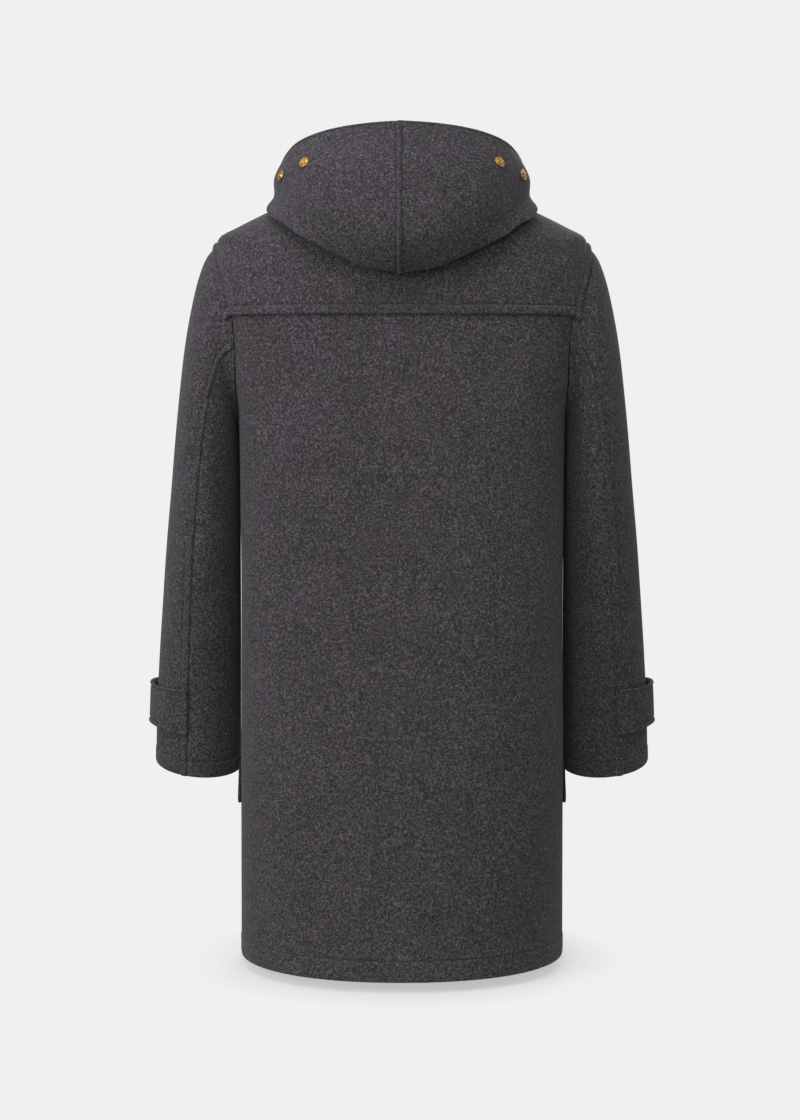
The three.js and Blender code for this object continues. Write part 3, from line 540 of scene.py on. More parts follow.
class Workroom:
    """Makes meshes of cloth, thread and turned parts, and enters them in the frame."""

    def __init__(self) -> None:
        """Starts with no pieces."""
        self.made: list[bpy.types.Object] = []

    def lay(self, bm: bmesh.types.BMesh, patch: Patch) -> None:
        """Adds one grid of faces to a mesh, facing outwards, with its cut as UVs in metres.

        Args:
            bm: The mesh.
            patch: The grid's points.
        """
        rows, columns = patch.place.shape[:2]
        layer = bm.loops.layers.uv.verify()
        grid = bmesh.ops.create_grid(bm, x_segments=columns - 1, y_segments=rows - 1, size=1.0)
        spots = {}
        for vert in grid["verts"]:
            column = round((vert.co.x + 1) / 2 * (columns - 1))
            row = round((1 - vert.co.y) / 2 * (rows - 1))
            spots[vert] = (row, column)
            vert.co = patch.place[row, column] * MM
        steps_across = np.linalg.norm(np.diff(patch.place, axis=1), axis=-1)
        steps_down = np.linalg.norm(np.diff(patch.place, axis=0), axis=-1)
        u = np.pad(np.cumsum(steps_across, axis=1), ((0, 0), (1, 0))) * MM
        v = np.pad(np.cumsum(steps_down, axis=0), ((1, 0), (0, 0))) * MM
        faces = list({face for vert in grid["verts"] for face in vert.link_faces})
        faces.sort(key=lambda face: min(spots[vert] for vert in face.verts))
        for face in faces:
            for loop in face.loops:
                spot = spots[loop.vert]
                loop[layer].uv = (u[spot], -v[spot])
        middle = faces[len(faces) // 2]
        middle.normal_update()
        row, column = spots[middle.verts[0]]
        if middle.normal.dot(Vector(patch.out[row, column])) < 0:
            bmesh.ops.reverse_faces(bm, faces=faces)

    def sheet(self, name: str, patches: Sequence[Patch], thickness: float = CLOTH,
              soften: float = 0.95) -> bpy.types.Object:
        """Makes one piece of cloth or leather with rounded edges from grids that meet.

        Args:
            name: The piece's name.
            patches: Its grids.
            thickness: How thick the cloth is.
            soften: The radius of its edges.

        Returns:
            The piece.
        """
        bm = bmesh.new()
        for patch in patches:
            self.lay(bm, patch)
        bmesh.ops.remove_doubles(bm, verts=bm.verts[:], dist=MERGE * MM)
        bm.normal_update()
        bmesh.ops.solidify(bm, geom=bm.faces[:], thickness=thickness * MM)
        bm.normal_update()
        sharp = [e for e in bm.edges if e.is_manifold and e.calc_face_angle(0) > SHARP]
        bmesh.ops.bevel(bm, geom=sharp, offset=soften * MM, offset_type="OFFSET", segments=2, profile=0.5,
                        affect="EDGES", material=-1, clamp_overlap=True)
        return self.entered(name, bm)

    def entered(self, name: str, bm: bmesh.types.BMesh) -> bpy.types.Object:
        """Turns a mesh into a smooth-shaded piece of the scene.

        Args:
            name: The piece's name.
            bm: The mesh, which is freed.

        Returns:
            The piece.
        """
        for face in bm.faces:
            face.smooth = True
        mesh = bpy.data.meshes.new(name)
        bm.to_mesh(mesh)
        bm.free()
        piece = placed(name, mesh)
        self.made.append(piece)
        return piece

    def turned(self, name: str, profile: Sequence[tuple[float, float]], place: Points, axis: Points,
               sides: int = 40) -> bpy.types.Object:
        """Spins a profile round an axis.

        Args:
            name: The piece's name.
            profile: Radius and height of each point, from one end of the axis to the other.
            place: Where the axis starts.
            axis: The axis's direction.
            sides: Number of steps round.

        Returns:
            The piece.
        """
        bm = bmesh.new()
        verts = [bm.verts.new((radius * MM, 0, height * MM)) for radius, height in profile]
        edges = [bm.edges.new(pair) for pair in zip(verts, verts[1:])]
        bmesh.ops.spin(bm, geom=[*verts, *edges], cent=(0, 0, 0), axis=(0, 0, 1), angle=math.tau,
                       steps=sides, use_merge=True)
        bmesh.ops.remove_doubles(bm, verts=bm.verts[:], dist=0.01 * MM)
        bmesh.ops.recalc_face_normals(bm, faces=bm.faces[:])
        turn = Vector(axis).to_track_quat("Z", "Y").to_matrix().to_4x4()
        bmesh.ops.transform(bm, matrix=Matrix.Translation(Vector(place) * MM) @ turn, verts=bm.verts[:])
        return self.entered(name, bm)

    def stitches(self, name: str, lines: Sequence[Patch], pitch: float = 4.4, length: float = 3.1,
                 radius: float = 0.42, lift: float = 0.1) -> bpy.types.Object:
        """Sews rows of single stitches along lines on the cloth.

        Args:
            name: The piece's name.
            lines: Each line's points and outward directions, as a grid of one row.
            pitch: Distance from stitch to stitch.
            length: Length of a stitch.
            radius: Radius of the thread.
            lift: Height of the thread's middle above the cloth.

        Returns:
            All the stitches as one piece.
        """
        bm = bmesh.new()
        seam = bpy.data.meshes.new(f"{name}_row")
        for line in lines:
            row = bmesh.new()
            place, out = line.place.reshape(-1, 3), line.out.reshape(-1, 3)
            run = np.concatenate(([0.0], np.cumsum(np.linalg.norm(np.diff(place, axis=0), axis=1))))
            for at in np.arange(pitch, run[-1] - pitch / 2, pitch):
                ends = [np.array([np.interp(at + half, run, place[:, k]) for k in range(3)])
                        for half in (-length / 2, length / 2)]
                normal = Vector([np.interp(at, run, out[:, k]) for k in range(3)]).normalized()
                along = Vector(ends[1] - ends[0]).normalized()
                beside = normal.cross(along).normalized()
                middle = (Vector(ends[0]) + Vector(ends[1])) / 2 + normal * lift
                turn = Matrix((along, beside, along.cross(beside))).transposed().to_4x4()
                size = Matrix.Diagonal((length / 2 * MM, radius * MM, radius * MM, 1))
                bmesh.ops.create_uvsphere(row, u_segments=6, v_segments=4, radius=1.0,
                                          matrix=Matrix.Translation(middle * MM) @ turn @ size)
            row.to_mesh(seam)
            row.free()
            bm.from_mesh(seam)
        bpy.data.meshes.remove(seam)
        return self.entered(name, bm)

    def enter(self, piece: bpy.types.Object, finish: "Finish", *nodes: str) -> bpy.types.Object:
        """Dresses a piece, puts it on the frame's body and lets it stand for its nodes.

        Args:
            piece: The piece.
            finish: Its finish.
            nodes: The frame's nodes that it stands for.

        Returns:
            The piece.
        """
        piece.data.materials.append(finish.material())
        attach(piece, "root")
        if nodes:
            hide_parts(*nodes)
        area = sum(polygon.area for polygon in piece.data.polygons) / 2
        LOG.info("%s: %d faces, %.4f square metres", piece.name, len(piece.data.polygons), area)
        return piece


class Nodes:
    """A short hand for building shader nodes."""

    def __init__(self, tree: bpy.types.NodeTree) -> None:
        """Holds the tree that nodes go into."""
        self.tree = tree

    @classmethod
    def cleared(cls, owner: bpy.types.Material | bpy.types.World) -> "Nodes":
        """The emptied node tree of a material or a world."""
        owner.use_nodes = True
        owner.node_tree.nodes.clear()
        return cls(owner.node_tree)

    def add(self, kind: str, settings: dict[str, object] | None = None, **inputs: object) -> bpy.types.Node:
        """Adds a node, sets its properties and fills or links its inputs.

        Args:
            kind: The node's type.
            settings: Its properties.
            inputs: Values or output sockets by the input's name, with _ for a space, or iN by number.

        Returns:
            The node.
        """
        node = self.tree.nodes.new(kind)
        for name, value in (settings or {}).items():
            setattr(node, name, value)
        return self.fill(node, **inputs)

    def fill(self, node: bpy.types.Node, **inputs: object) -> bpy.types.Node:
        """Fills or links a node's inputs, named as for a new node, and returns it."""
        for name, value in inputs.items():
            numbered = name[0] == "i" and name[1:].isdigit()
            socket = node.inputs[int(name[1:])] if numbered else node.inputs[name.replace("_", " ")]
            if isinstance(value, bpy.types.NodeSocket):
                self.tree.links.new(value, socket)
            else:
                socket.default_value = value
        return node

    def math(self, operation: str, first: object, second: object = 0.5) -> bpy.types.NodeSocket:
        """A Math node's result."""
        return self.add("ShaderNodeMath", {"operation": operation}, i0=first, i1=second).outputs[0]

    def noise(self, vector: bpy.types.NodeSocket, scale: float, detail: float = 2.0,
              rough: float = 0.5) -> bpy.types.NodeSocket:
        """A noise texture's value."""
        made = self.add("ShaderNodeTexNoise", None, Vector=vector, Scale=scale, Detail=detail,
                        Roughness=rough)
        return made.outputs[0]

    def span(self, value: bpy.types.NodeSocket, low: float, high: float, start: float = 0.0,
             end: float = 1.0) -> bpy.types.NodeSocket:
        """A value spread from one range to another, kept inside it."""
        made = self.add("ShaderNodeMapRange", None, i0=value, i1=low, i2=high, i3=start, i4=end)
        return made.outputs[0]

    def mix(self, share: object, first: object, second: object) -> bpy.types.NodeSocket:
        """A mixed colour."""
        made = self.add("ShaderNodeMix", {"data_type": "RGBA"}, i0=share, i6=first, i7=second)
        return made.outputs[2]


def shade(red: int, green: int, blue: int) -> tuple[float, float, float, float]:
    """A screen colour as the linear colour that shaders take."""
    screen = np.array([red, green, blue]) / 255
    linear = np.where(screen <= 0.04045, screen / 12.92, ((screen + 0.055) / 1.055) ** 2.4)
    return (*linear.tolist(), 1.0)


class EffectGroup:
    """The fibre effect of the melange wool, built once as a node group."""

    NAME = "melange_fibres"

    @classmethod
    def tree(cls) -> bpy.types.NodeTree:
        """Builds the group once.

        Returns:
            The node group, with its colour and its nap's height as outputs.
        """
        known = bpy.data.node_groups.get(cls.NAME)
        if known:
            return known
        tree = bpy.data.node_groups.new(cls.NAME, "ShaderNodeTree")
        face = tree.interface
        face.new_socket("Vector", in_out="INPUT", socket_type="NodeSocketVector")
        for name in ("Dark", "Ground", "Light"):
            face.new_socket(name, in_out="INPUT", socket_type="NodeSocketColor")
        for name, value in (("Fleck", 1.0), ("Cloud", 0.08)):
            face.new_socket(name, in_out="INPUT", socket_type="NodeSocketFloat").default_value = value
        face.new_socket("Color", in_out="OUTPUT", socket_type="NodeSocketColor")
        face.new_socket("Height", in_out="OUTPUT", socket_type="NodeSocketFloat")
        n = Nodes(tree)
        given = n.add("NodeGroupInput").outputs
        where = given["Vector"]
        tuft = n.noise(where, 360.0, 5.0, 0.78)
        fibre = n.noise(where, 1100.0, 3.0, 0.7)
        stretched = n.add("ShaderNodeVectorMath", {"operation": "MULTIPLY"}, i0=where, i1=(1.0, 1.0, 0.32))
        strand = n.noise(stretched.outputs[0], 1150.0, 2.0, 0.5)
        cloud = n.noise(where, 22.0, 3.0, 0.6)
        both = n.math("ADD", n.math("MULTIPLY", tuft, 0.55), n.math("MULTIPLY", fibre, 0.45))
        darker = n.span(both, 0.505, 0.39)
        lighter = n.span(both, 0.505, 0.63)
        flecked = n.math("MULTIPLY", lighter, given["Fleck"])
        streaks = n.span(strand, 0.58, 0.74)
        colour = n.mix(n.math("MULTIPLY", darker, given["Fleck"]), given["Ground"], given["Dark"])
        colour = n.mix(flecked, colour, given["Light"])
        colour = n.mix(n.math("MULTIPLY", streaks, 0.35), colour, given["Light"])
        cloudy = n.math("MULTIPLY", n.span(cloud, 0.3, 0.7, -1.0, 1.0), given["Cloud"])
        level = n.math("ADD", cloudy, 1.0)
        scaled = n.add("ShaderNodeVectorMath", {"operation": "SCALE"}, i0=colour, Scale=level)
        height = n.math("ADD", n.math("MULTIPLY", tuft, 0.7), n.math("MULTIPLY", strand, 0.3))
        n.add("NodeGroupOutput", None, Color=scaled.outputs[0], Height=height)
        return tree


@dataclass(frozen=True)
class Finish:
    """A finish of the coat: its name, its slot in the record and its shader's constants."""

    name: str
    slot: str

    def material(self) -> bpy.types.Material:
        """The finish's material, built once."""
        known = bpy.data.materials.get(self.name)
        if known:
            return known
        made = bpy.data.materials.new(self.name)
        n = Nodes.cleared(made)
        where = n.add("ShaderNodeTexCoord").outputs["Object"]
        shader = n.add("ShaderNodeBsdfPrincipled")
        self.dress(n, shader, where)
        n.add("ShaderNodeOutputMaterial", None, Surface=shader.outputs[0])
        return made

    def dress(self, n: Nodes, shader: bpy.types.Node, where: bpy.types.NodeSocket) -> None:
        """Sets the shader of the finish."""
        raise NotImplementedError

    def relief(self, n: Nodes, shader: bpy.types.Node, height: bpy.types.NodeSocket, strength: float,
               depth: float) -> None:
        """Feeds a height into the shader's normal.

        Args:
            n: The material's nodes.
            shader: The Principled node.
            height: The height's socket.
            strength: The bump's strength.
            depth: The relief's depth in millimetres.
        """
        made = n.add("ShaderNodeBump", None, Height=height, Strength=strength, Distance=depth * MM)
        n.fill(shader, Normal=made.outputs[0])


@dataclass(frozen=True)
class MelangeWool(Finish):
    """Brushed melange wool: dark ground, lighter fibres and a short nap."""

    dark: tuple[int, int, int] = (26, 23, 27)
    ground: tuple[int, int, int] = (56, 52, 57)
    light: tuple[int, int, int] = (124, 119, 124)
    fleck: float = 1.0
    cloud: float = 0.09

    def dress(self, n: Nodes, shader: bpy.types.Node, where: bpy.types.NodeSocket) -> None:
        """Colours the cloth by its fibres and raises its nap."""
        group = n.add("ShaderNodeGroup", {"node_tree": EffectGroup.tree()}, Vector=where,
                      Dark=shade(*self.dark), Ground=shade(*self.ground), Light=shade(*self.light),
                      Fleck=self.fleck, Cloud=self.cloud)
        n.fill(shader, Base_Color=group.outputs["Color"], Roughness=0.92, Specular_IOR_Level=0.18,
               Sheen_Weight=0.12, Sheen_Roughness=0.55, Sheen_Tint=(0.72, 0.70, 0.75, 1.0))
        self.relief(n, shader, group.outputs["Height"], 0.55, 0.9)


@dataclass(frozen=True)
class Thread(Finish):
    """Matt charcoal sewing thread."""

    colour: tuple[int, int, int] = (46, 44, 49)

    def dress(self, n: Nodes, shader: bpy.types.Node, where: bpy.types.NodeSocket) -> None:
        """Gives the thread a little change of tone."""
        tone = n.noise(where, 1800.0, 2.0)
        light = tuple(min(255, c + 26) for c in self.colour)
        colour = n.mix(tone, shade(*self.colour), shade(*light))
        n.fill(shader, Base_Color=colour, Roughness=0.7)
        self.relief(n, shader, tone, 0.4, 0.2)


@dataclass(frozen=True)
class Leather(Finish):
    """Smooth dark leather with a fine grain and rubbed places."""

    colour: tuple[int, int, int] = (44, 33, 27)
    rubbed: tuple[int, int, int] = (78, 60, 48)

    def dress(self, n: Nodes, shader: bpy.types.Node, where: bpy.types.NodeSocket) -> None:
        """Grains the leather and lightens it where it is rubbed."""
        pores = n.add("ShaderNodeTexVoronoi", {"feature": "DISTANCE_TO_EDGE"}, Vector=where, Scale=760.0)
        patches = n.span(n.noise(where, 60.0, 4.0, 0.6), 0.52, 0.75, 0.0, 0.6)
        colour = n.mix(patches, shade(*self.colour), shade(*self.rubbed))
        rough = n.span(n.noise(where, 180.0, 3.0), 0.3, 0.7, 0.42, 0.6)
        n.fill(shader, Base_Color=colour, Roughness=rough)
        height = n.span(pores.outputs["Distance"], 0.0, 0.12)
        self.relief(n, shader, height, 0.45, 0.25)


@dataclass(frozen=True)
class Horn(Finish):
    """Polished horn with long bands of brown."""

    dark: tuple[int, int, int] = (46, 30, 20)
    light: tuple[int, int, int] = (126, 92, 58)

    def dress(self, n: Nodes, shader: bpy.types.Node, where: bpy.types.NodeSocket) -> None:
        """Draws bands along the horn and polishes it."""
        drawn = n.add("ShaderNodeVectorMath", {"operation": "MULTIPLY"}, i0=where, i1=(0.18, 1.0, 1.0))
        bands = n.noise(drawn.outputs[0], 190.0, 4.0, 0.62)
        colour = n.mix(n.span(bands, 0.4, 0.66), shade(*self.dark), shade(*self.light))
        rough = n.span(n.noise(where, 320.0, 2.0), 0.3, 0.7, 0.2, 0.36)
        n.fill(shader, Base_Color=colour, Roughness=rough, Coat_Weight=0.3, Coat_Roughness=0.12)
        self.relief(n, shader, bands, 0.2, 0.3)


@dataclass(frozen=True)
class Brass(Finish):
    """Satin brass, tarnished in random patches."""

    bright: tuple[int, int, int] = (222, 178, 104)
    tarnished: tuple[int, int, int] = (150, 106, 50)

    def dress(self, n: Nodes, shader: bpy.types.Node, where: bpy.types.NodeSocket) -> None:
        """Tarnishes the brass in patches and scratches it finely."""
        patches = n.span(n.noise(where, 260.0, 4.0, 0.6), 0.38, 0.68)
        colour = n.mix(patches, shade(*self.bright), shade(*self.tarnished))
        rough = n.span(n.noise(where, 900.0, 2.0), 0.3, 0.7, 0.24, 0.42)
        n.fill(shader, Base_Color=colour, Metallic=1.0, Roughness=rough)
        self.relief(n, shader, n.noise(where, 1400.0, 2.0), 0.2, 0.1)


WOOL = MelangeWool("melange_wool", "wool")
THREAD = Thread("sewing_thread", "wool")
HIDE = Leather("dark_leather", "leather")
HORN = Horn("polished_horn", "horn")
BRASS = Brass("satin_brass", "brass")


def speed(surface: Surface, u: Points, v: Points, along_u: bool) -> Points:
    """How many millimetres a surface runs for a unit step of one variable.

    Args:
        surface: The surface's points by u and v.
        u: First variable.
        v: Second variable.
        along_u: Whether the step is along u.

    Returns:
        The speed at each point.
    """
    d = 0.01
    ahead = surface(u + d, v) if along_u else surface(u, v + d)
    return np.linalg.norm(ahead - (surface(u - d, v) if along_u else surface(u, v - d)), axis=-1) / (2 * d)


def welt(distance: Points, width: float, height: float, groove: float = 1.0) -> Points:
    """The height of a folded edge with its row of stitches.

    Args:
        distance: Distances from the edge.
        width: Where the stitches run.
        height: How much the fold stands proud.
        groove: How deep the stitches sink in.

    Returns:
        Offsets along the normals.
    """
    fold = height * smooth(-0.4, 2.0, distance) * (1 - smooth(width - 3.4, width - 0.2, distance))
    return fold - groove * ridge(distance - width, 2.1)


def ditch(distance: Points, depth: float, width: float = 4.0) -> Points:
    """The hollow that a seam draws along its edge."""
    return -depth * (1 - smooth(0, width, distance))


@dataclass
class BodyPanels:
    """The back and the two fronts, the left one lapped over the right one."""

    shop: Workroom
    form: BodyForm
    hem_width: float = 25.0
    placket_width: float = 9.0
    hem_puff: float = 0.6
    closed: float = -0.15

    def levels(self) -> Points:
        """The rows' levels, from the neck edge to the hem."""
        form = self.form
        beside = form.armhole_level(np.linspace(math.pi, 0, 45))
        below = spaced(form.underarm, form.hem, 5.5, form.hem + self.hem_width)
        return np.concatenate((np.linspace(form.neck_edge, form.shoulder, 16)[:-1], beside, below[1:]))

    def relief(self, place: Points, level: Points, side: Points) -> Points:
        """The panel's creases, hem and side seam.

        Args:
            place: The panel's points.
            level: Their levels.
            side: Their distances from the side seam.

        Returns:
            Offsets along the normals.
        """
        hem = welt(level - self.form.hem, self.hem_width, self.hem_puff)
        return self.form.drape(place) + hem + ditch(side, 1.0)

    def back_grid(self, levels: Points, shares: Points) -> Patch:
        """The back panel's points by level and share of its width."""
        level, share = np.meshgrid(levels, shares, indexing="ij")
        edge = self.form.soft_turn(level, 1, np.abs(share), self.closed)
        turn = edge * share
        place = self.form.point(turn, level)
        away = (edge - np.abs(turn)) * speed(self.form.point, turn, level, True)
        return Patch(place, self.form.normal(turn, level)).raised(self.relief(place, level, away))

    def front_grid(self, levels: Points, columns: Points, under: bool) -> Patch:
        """A front panel's points on the wearer's left, by level and column."""
        level, column = np.meshgrid(levels, columns, indexing="ij")
        turn = self.form.front_turn(level, column, self.closed)
        place, out = self.form.point(turn, level), self.form.normal(turn, level)
        inside = turn - self.form.edge_turn(level, -1, self.closed)
        away = inside * speed(self.form.point, turn, level, True)
        height = self.relief(place * np.array([-1 if under else 1, 1, 1]), level, away)
        edge = place[..., 0] + self.form.overlap
        height = height + welt(edge, self.placket_width, 0.4)
        if under:
            height = height - self.form.under_depth(level, column)
        return Patch(place, out).raised(height)

    def build(self) -> None:
        """Makes the three panels and their stitches."""
        levels = self.levels()
        shares = steps((-1, -0.98, 4), (-0.98, 0.98, 96), (0.98, 1, 4))
        columns = steps((0, 0.15, 4), (0.15, 5, 30), (5, 9.4, 26), (9.4, 10, 16))
        hem = np.array([self.form.hem + self.hem_width])
        back = self.shop.sheet("coat_back", [self.back_grid(levels, shares)])
        self.shop.enter(back, WOOL, "back")
        lines = [self.back_grid(hem, shares)]
        for side in Side:
            under = side is Side.RIGHT
            grid = self.front_grid(levels, columns, under).on(side)
            front = self.shop.sheet(f"coat_front_{side.word}", [grid])
            self.shop.enter(front, WOOL, f"front_{side.word}")
            lines.append(self.front_grid(hem, columns, under).on(side))
            row = 10 - 5 * self.placket_width / (self.form.overlap + self.form.placket_reach)
            down = levels[levels < self.form.yoke_edge - 4]
            lines.append(self.front_grid(down, np.array([row]), under).on(side))
        self.shop.enter(self.shop.stitches("stitches_body", lines), THREAD)


@dataclass
class Yoke:
    """The shoulder yoke over back, fronts and sleeve heads, with folded and stitched edges."""

    shop: Workroom
    form: BodyForm
    sleeve: SleeveForm
    edge_width: float = 12.0
    fold: float = 1.5
    groove: float = 1.2
    lap: float = 10.0
    lap_stitch: float = 7.0

    def rows(self) -> Points:
        """The levels beside the armhole, from the shoulder point to the yoke's edge."""
        above = self.form.yoke_edge + 18
        start = float(self.form.armhole_angle(np.array(above)))
        rounded = self.form.armhole_level(np.linspace(math.pi, start, 26))
        return np.concatenate((rounded, np.linspace(above, self.form.yoke_edge, 19)[1:]))

    def seam_directions(self, angle: Points) -> Points:
        """The direction outwards on the armhole seam, between the body's and the sleeve's."""
        level = self.form.armhole_level(angle)
        body = self.form.normal(self.form.armhole_turn(angle), level)
        return unit(body + self.sleeve.normal(angle, np.full_like(angle, 0.02)))

    def dressed(self, place: Points, out: Points) -> Points:
        """Turns the body's directions to the seam's near each armhole.

        Args:
            place: Points of the body.
            out: Their outward directions.

        Returns:
            The blended directions.
        """
        angles = self.form.armhole_angle(self.rows())
        angles = np.concatenate((angles, -angles))
        seam = self.form.point(self.form.armhole_turn(angles), self.form.armhole_level(angles))
        ways = self.seam_directions(angles)
        flip = np.array([-1, 1, 1])
        seam, ways = np.concatenate((seam, seam * flip)), np.concatenate((ways, ways * flip))
        flat = place.reshape(-1, 3)
        away = np.linalg.norm(flat[:, None, :] - seam[None, :, :], axis=-1)
        nearest = away.argmin(axis=1)
        share = (1 - smooth(0, 10, away.min(axis=1)))[:, None]
        return unit(out.reshape(-1, 3) * (1 - share) + ways[nearest] * share).reshape(out.shape)

    def back_grid(self, levels: Points, shares: Points) -> Patch:
        """The yoke's points on the back, by level and share of the width."""
        level, share = np.meshgrid(levels, shares, indexing="ij")
        turn = self.form.soft_turn(level, 1, np.abs(share), 0.0) * share
        return self.covered(turn, level, 0.0)

    def front_grid(self, levels: Points, columns: Points, under: bool) -> Patch:
        """The yoke's points on a front, as on the wearer's left."""
        level, column = np.meshgrid(levels, columns, indexing="ij")
        turn = self.form.front_turn(level, column, 0.0)
        return self.covered(turn, level, self.form.under_depth(level, column) if under else 0.0)

    def covered(self, turn: Points, level: Points, depth: Points | float) -> Patch:
        """Points of the yoke above a point of the body."""
        place, out = self.form.point(turn, level), self.form.normal(turn, level)
        return Patch(place, self.dressed(place, out)).raised(SEAM + CLOTH + self.lower_edge(level) - depth)

    def lower_edge(self, level: Points) -> Points:
        """The height of the yoke's folded lower edge, by level."""
        return welt(level - self.form.yoke_edge, self.edge_width, self.fold, self.groove)

    def lap_grid(self, aways: Points) -> Patch:
        """The strip that laps over the left sleeve, from the seam to its edge."""
        angles = self.form.armhole_angle(self.rows())
        angles = np.concatenate((angles[::-1], -angles[1:]))
        far = np.full_like(angles, 0.1)
        edge = self.sleeve.point(angles, np.zeros_like(angles))
        for _ in range(60):
            short = np.linalg.norm(self.sleeve.point(angles, far) - edge, axis=-1) < self.lap
            far = np.where(short, far + 0.01, far)
        angle, away = np.meshgrid(angles, aways, indexing="ij")
        place = self.sleeve.point(angle, away * far[:, None])
        plain = self.sleeve.normal(angle, np.maximum(away * far[:, None], 0.02))
        share = (1 - smooth(0, 0.8, away))[..., None]
        out = unit(plain * (1 - share) + self.seam_directions(angle) * share)
        lower = self.lower_edge(self.form.armhole_level(angle))
        side = welt((1 - away) * self.lap, self.lap_stitch, 1.0)
        height = np.where(side > 0, np.maximum(lower, side), lower + side)
        return Patch(place, out).raised(SEAM + CLOTH + height)

    def build(self) -> None:
        """Makes the yoke as one piece, and its stitches."""
        shares = np.linspace(-1, 1, 111)
        columns = steps((0, 5, 32), (5, 10, 30))
        top = np.linspace(self.form.neck_edge, self.form.shoulder, 22)
        rows = self.rows()
        aways = np.linspace(0, 1, 13)
        patches = []
        for levels in (top, rows):
            patches.append(self.back_grid(levels, shares))
            patches.extend(self.front_grid(levels, columns, side is Side.RIGHT).on(side) for side in Side)
        patches.extend(self.lap_grid(aways).on(side) for side in Side)
        yoke = self.shop.sheet("coat_yoke", patches)
        self.shop.enter(yoke, WOOL, "yoke")
        line = np.array([self.form.yoke_edge + self.edge_width])
        lines = [self.back_grid(line, shares)]
        lines += [self.front_grid(line, columns, side is Side.RIGHT).on(side) for side in Side]
        lines += [self.lap_grid(np.array([1 - self.lap_stitch / self.lap])).on(side) for side in Side]
        self.shop.enter(self.shop.stitches("stitches_yoke", lines), THREAD)


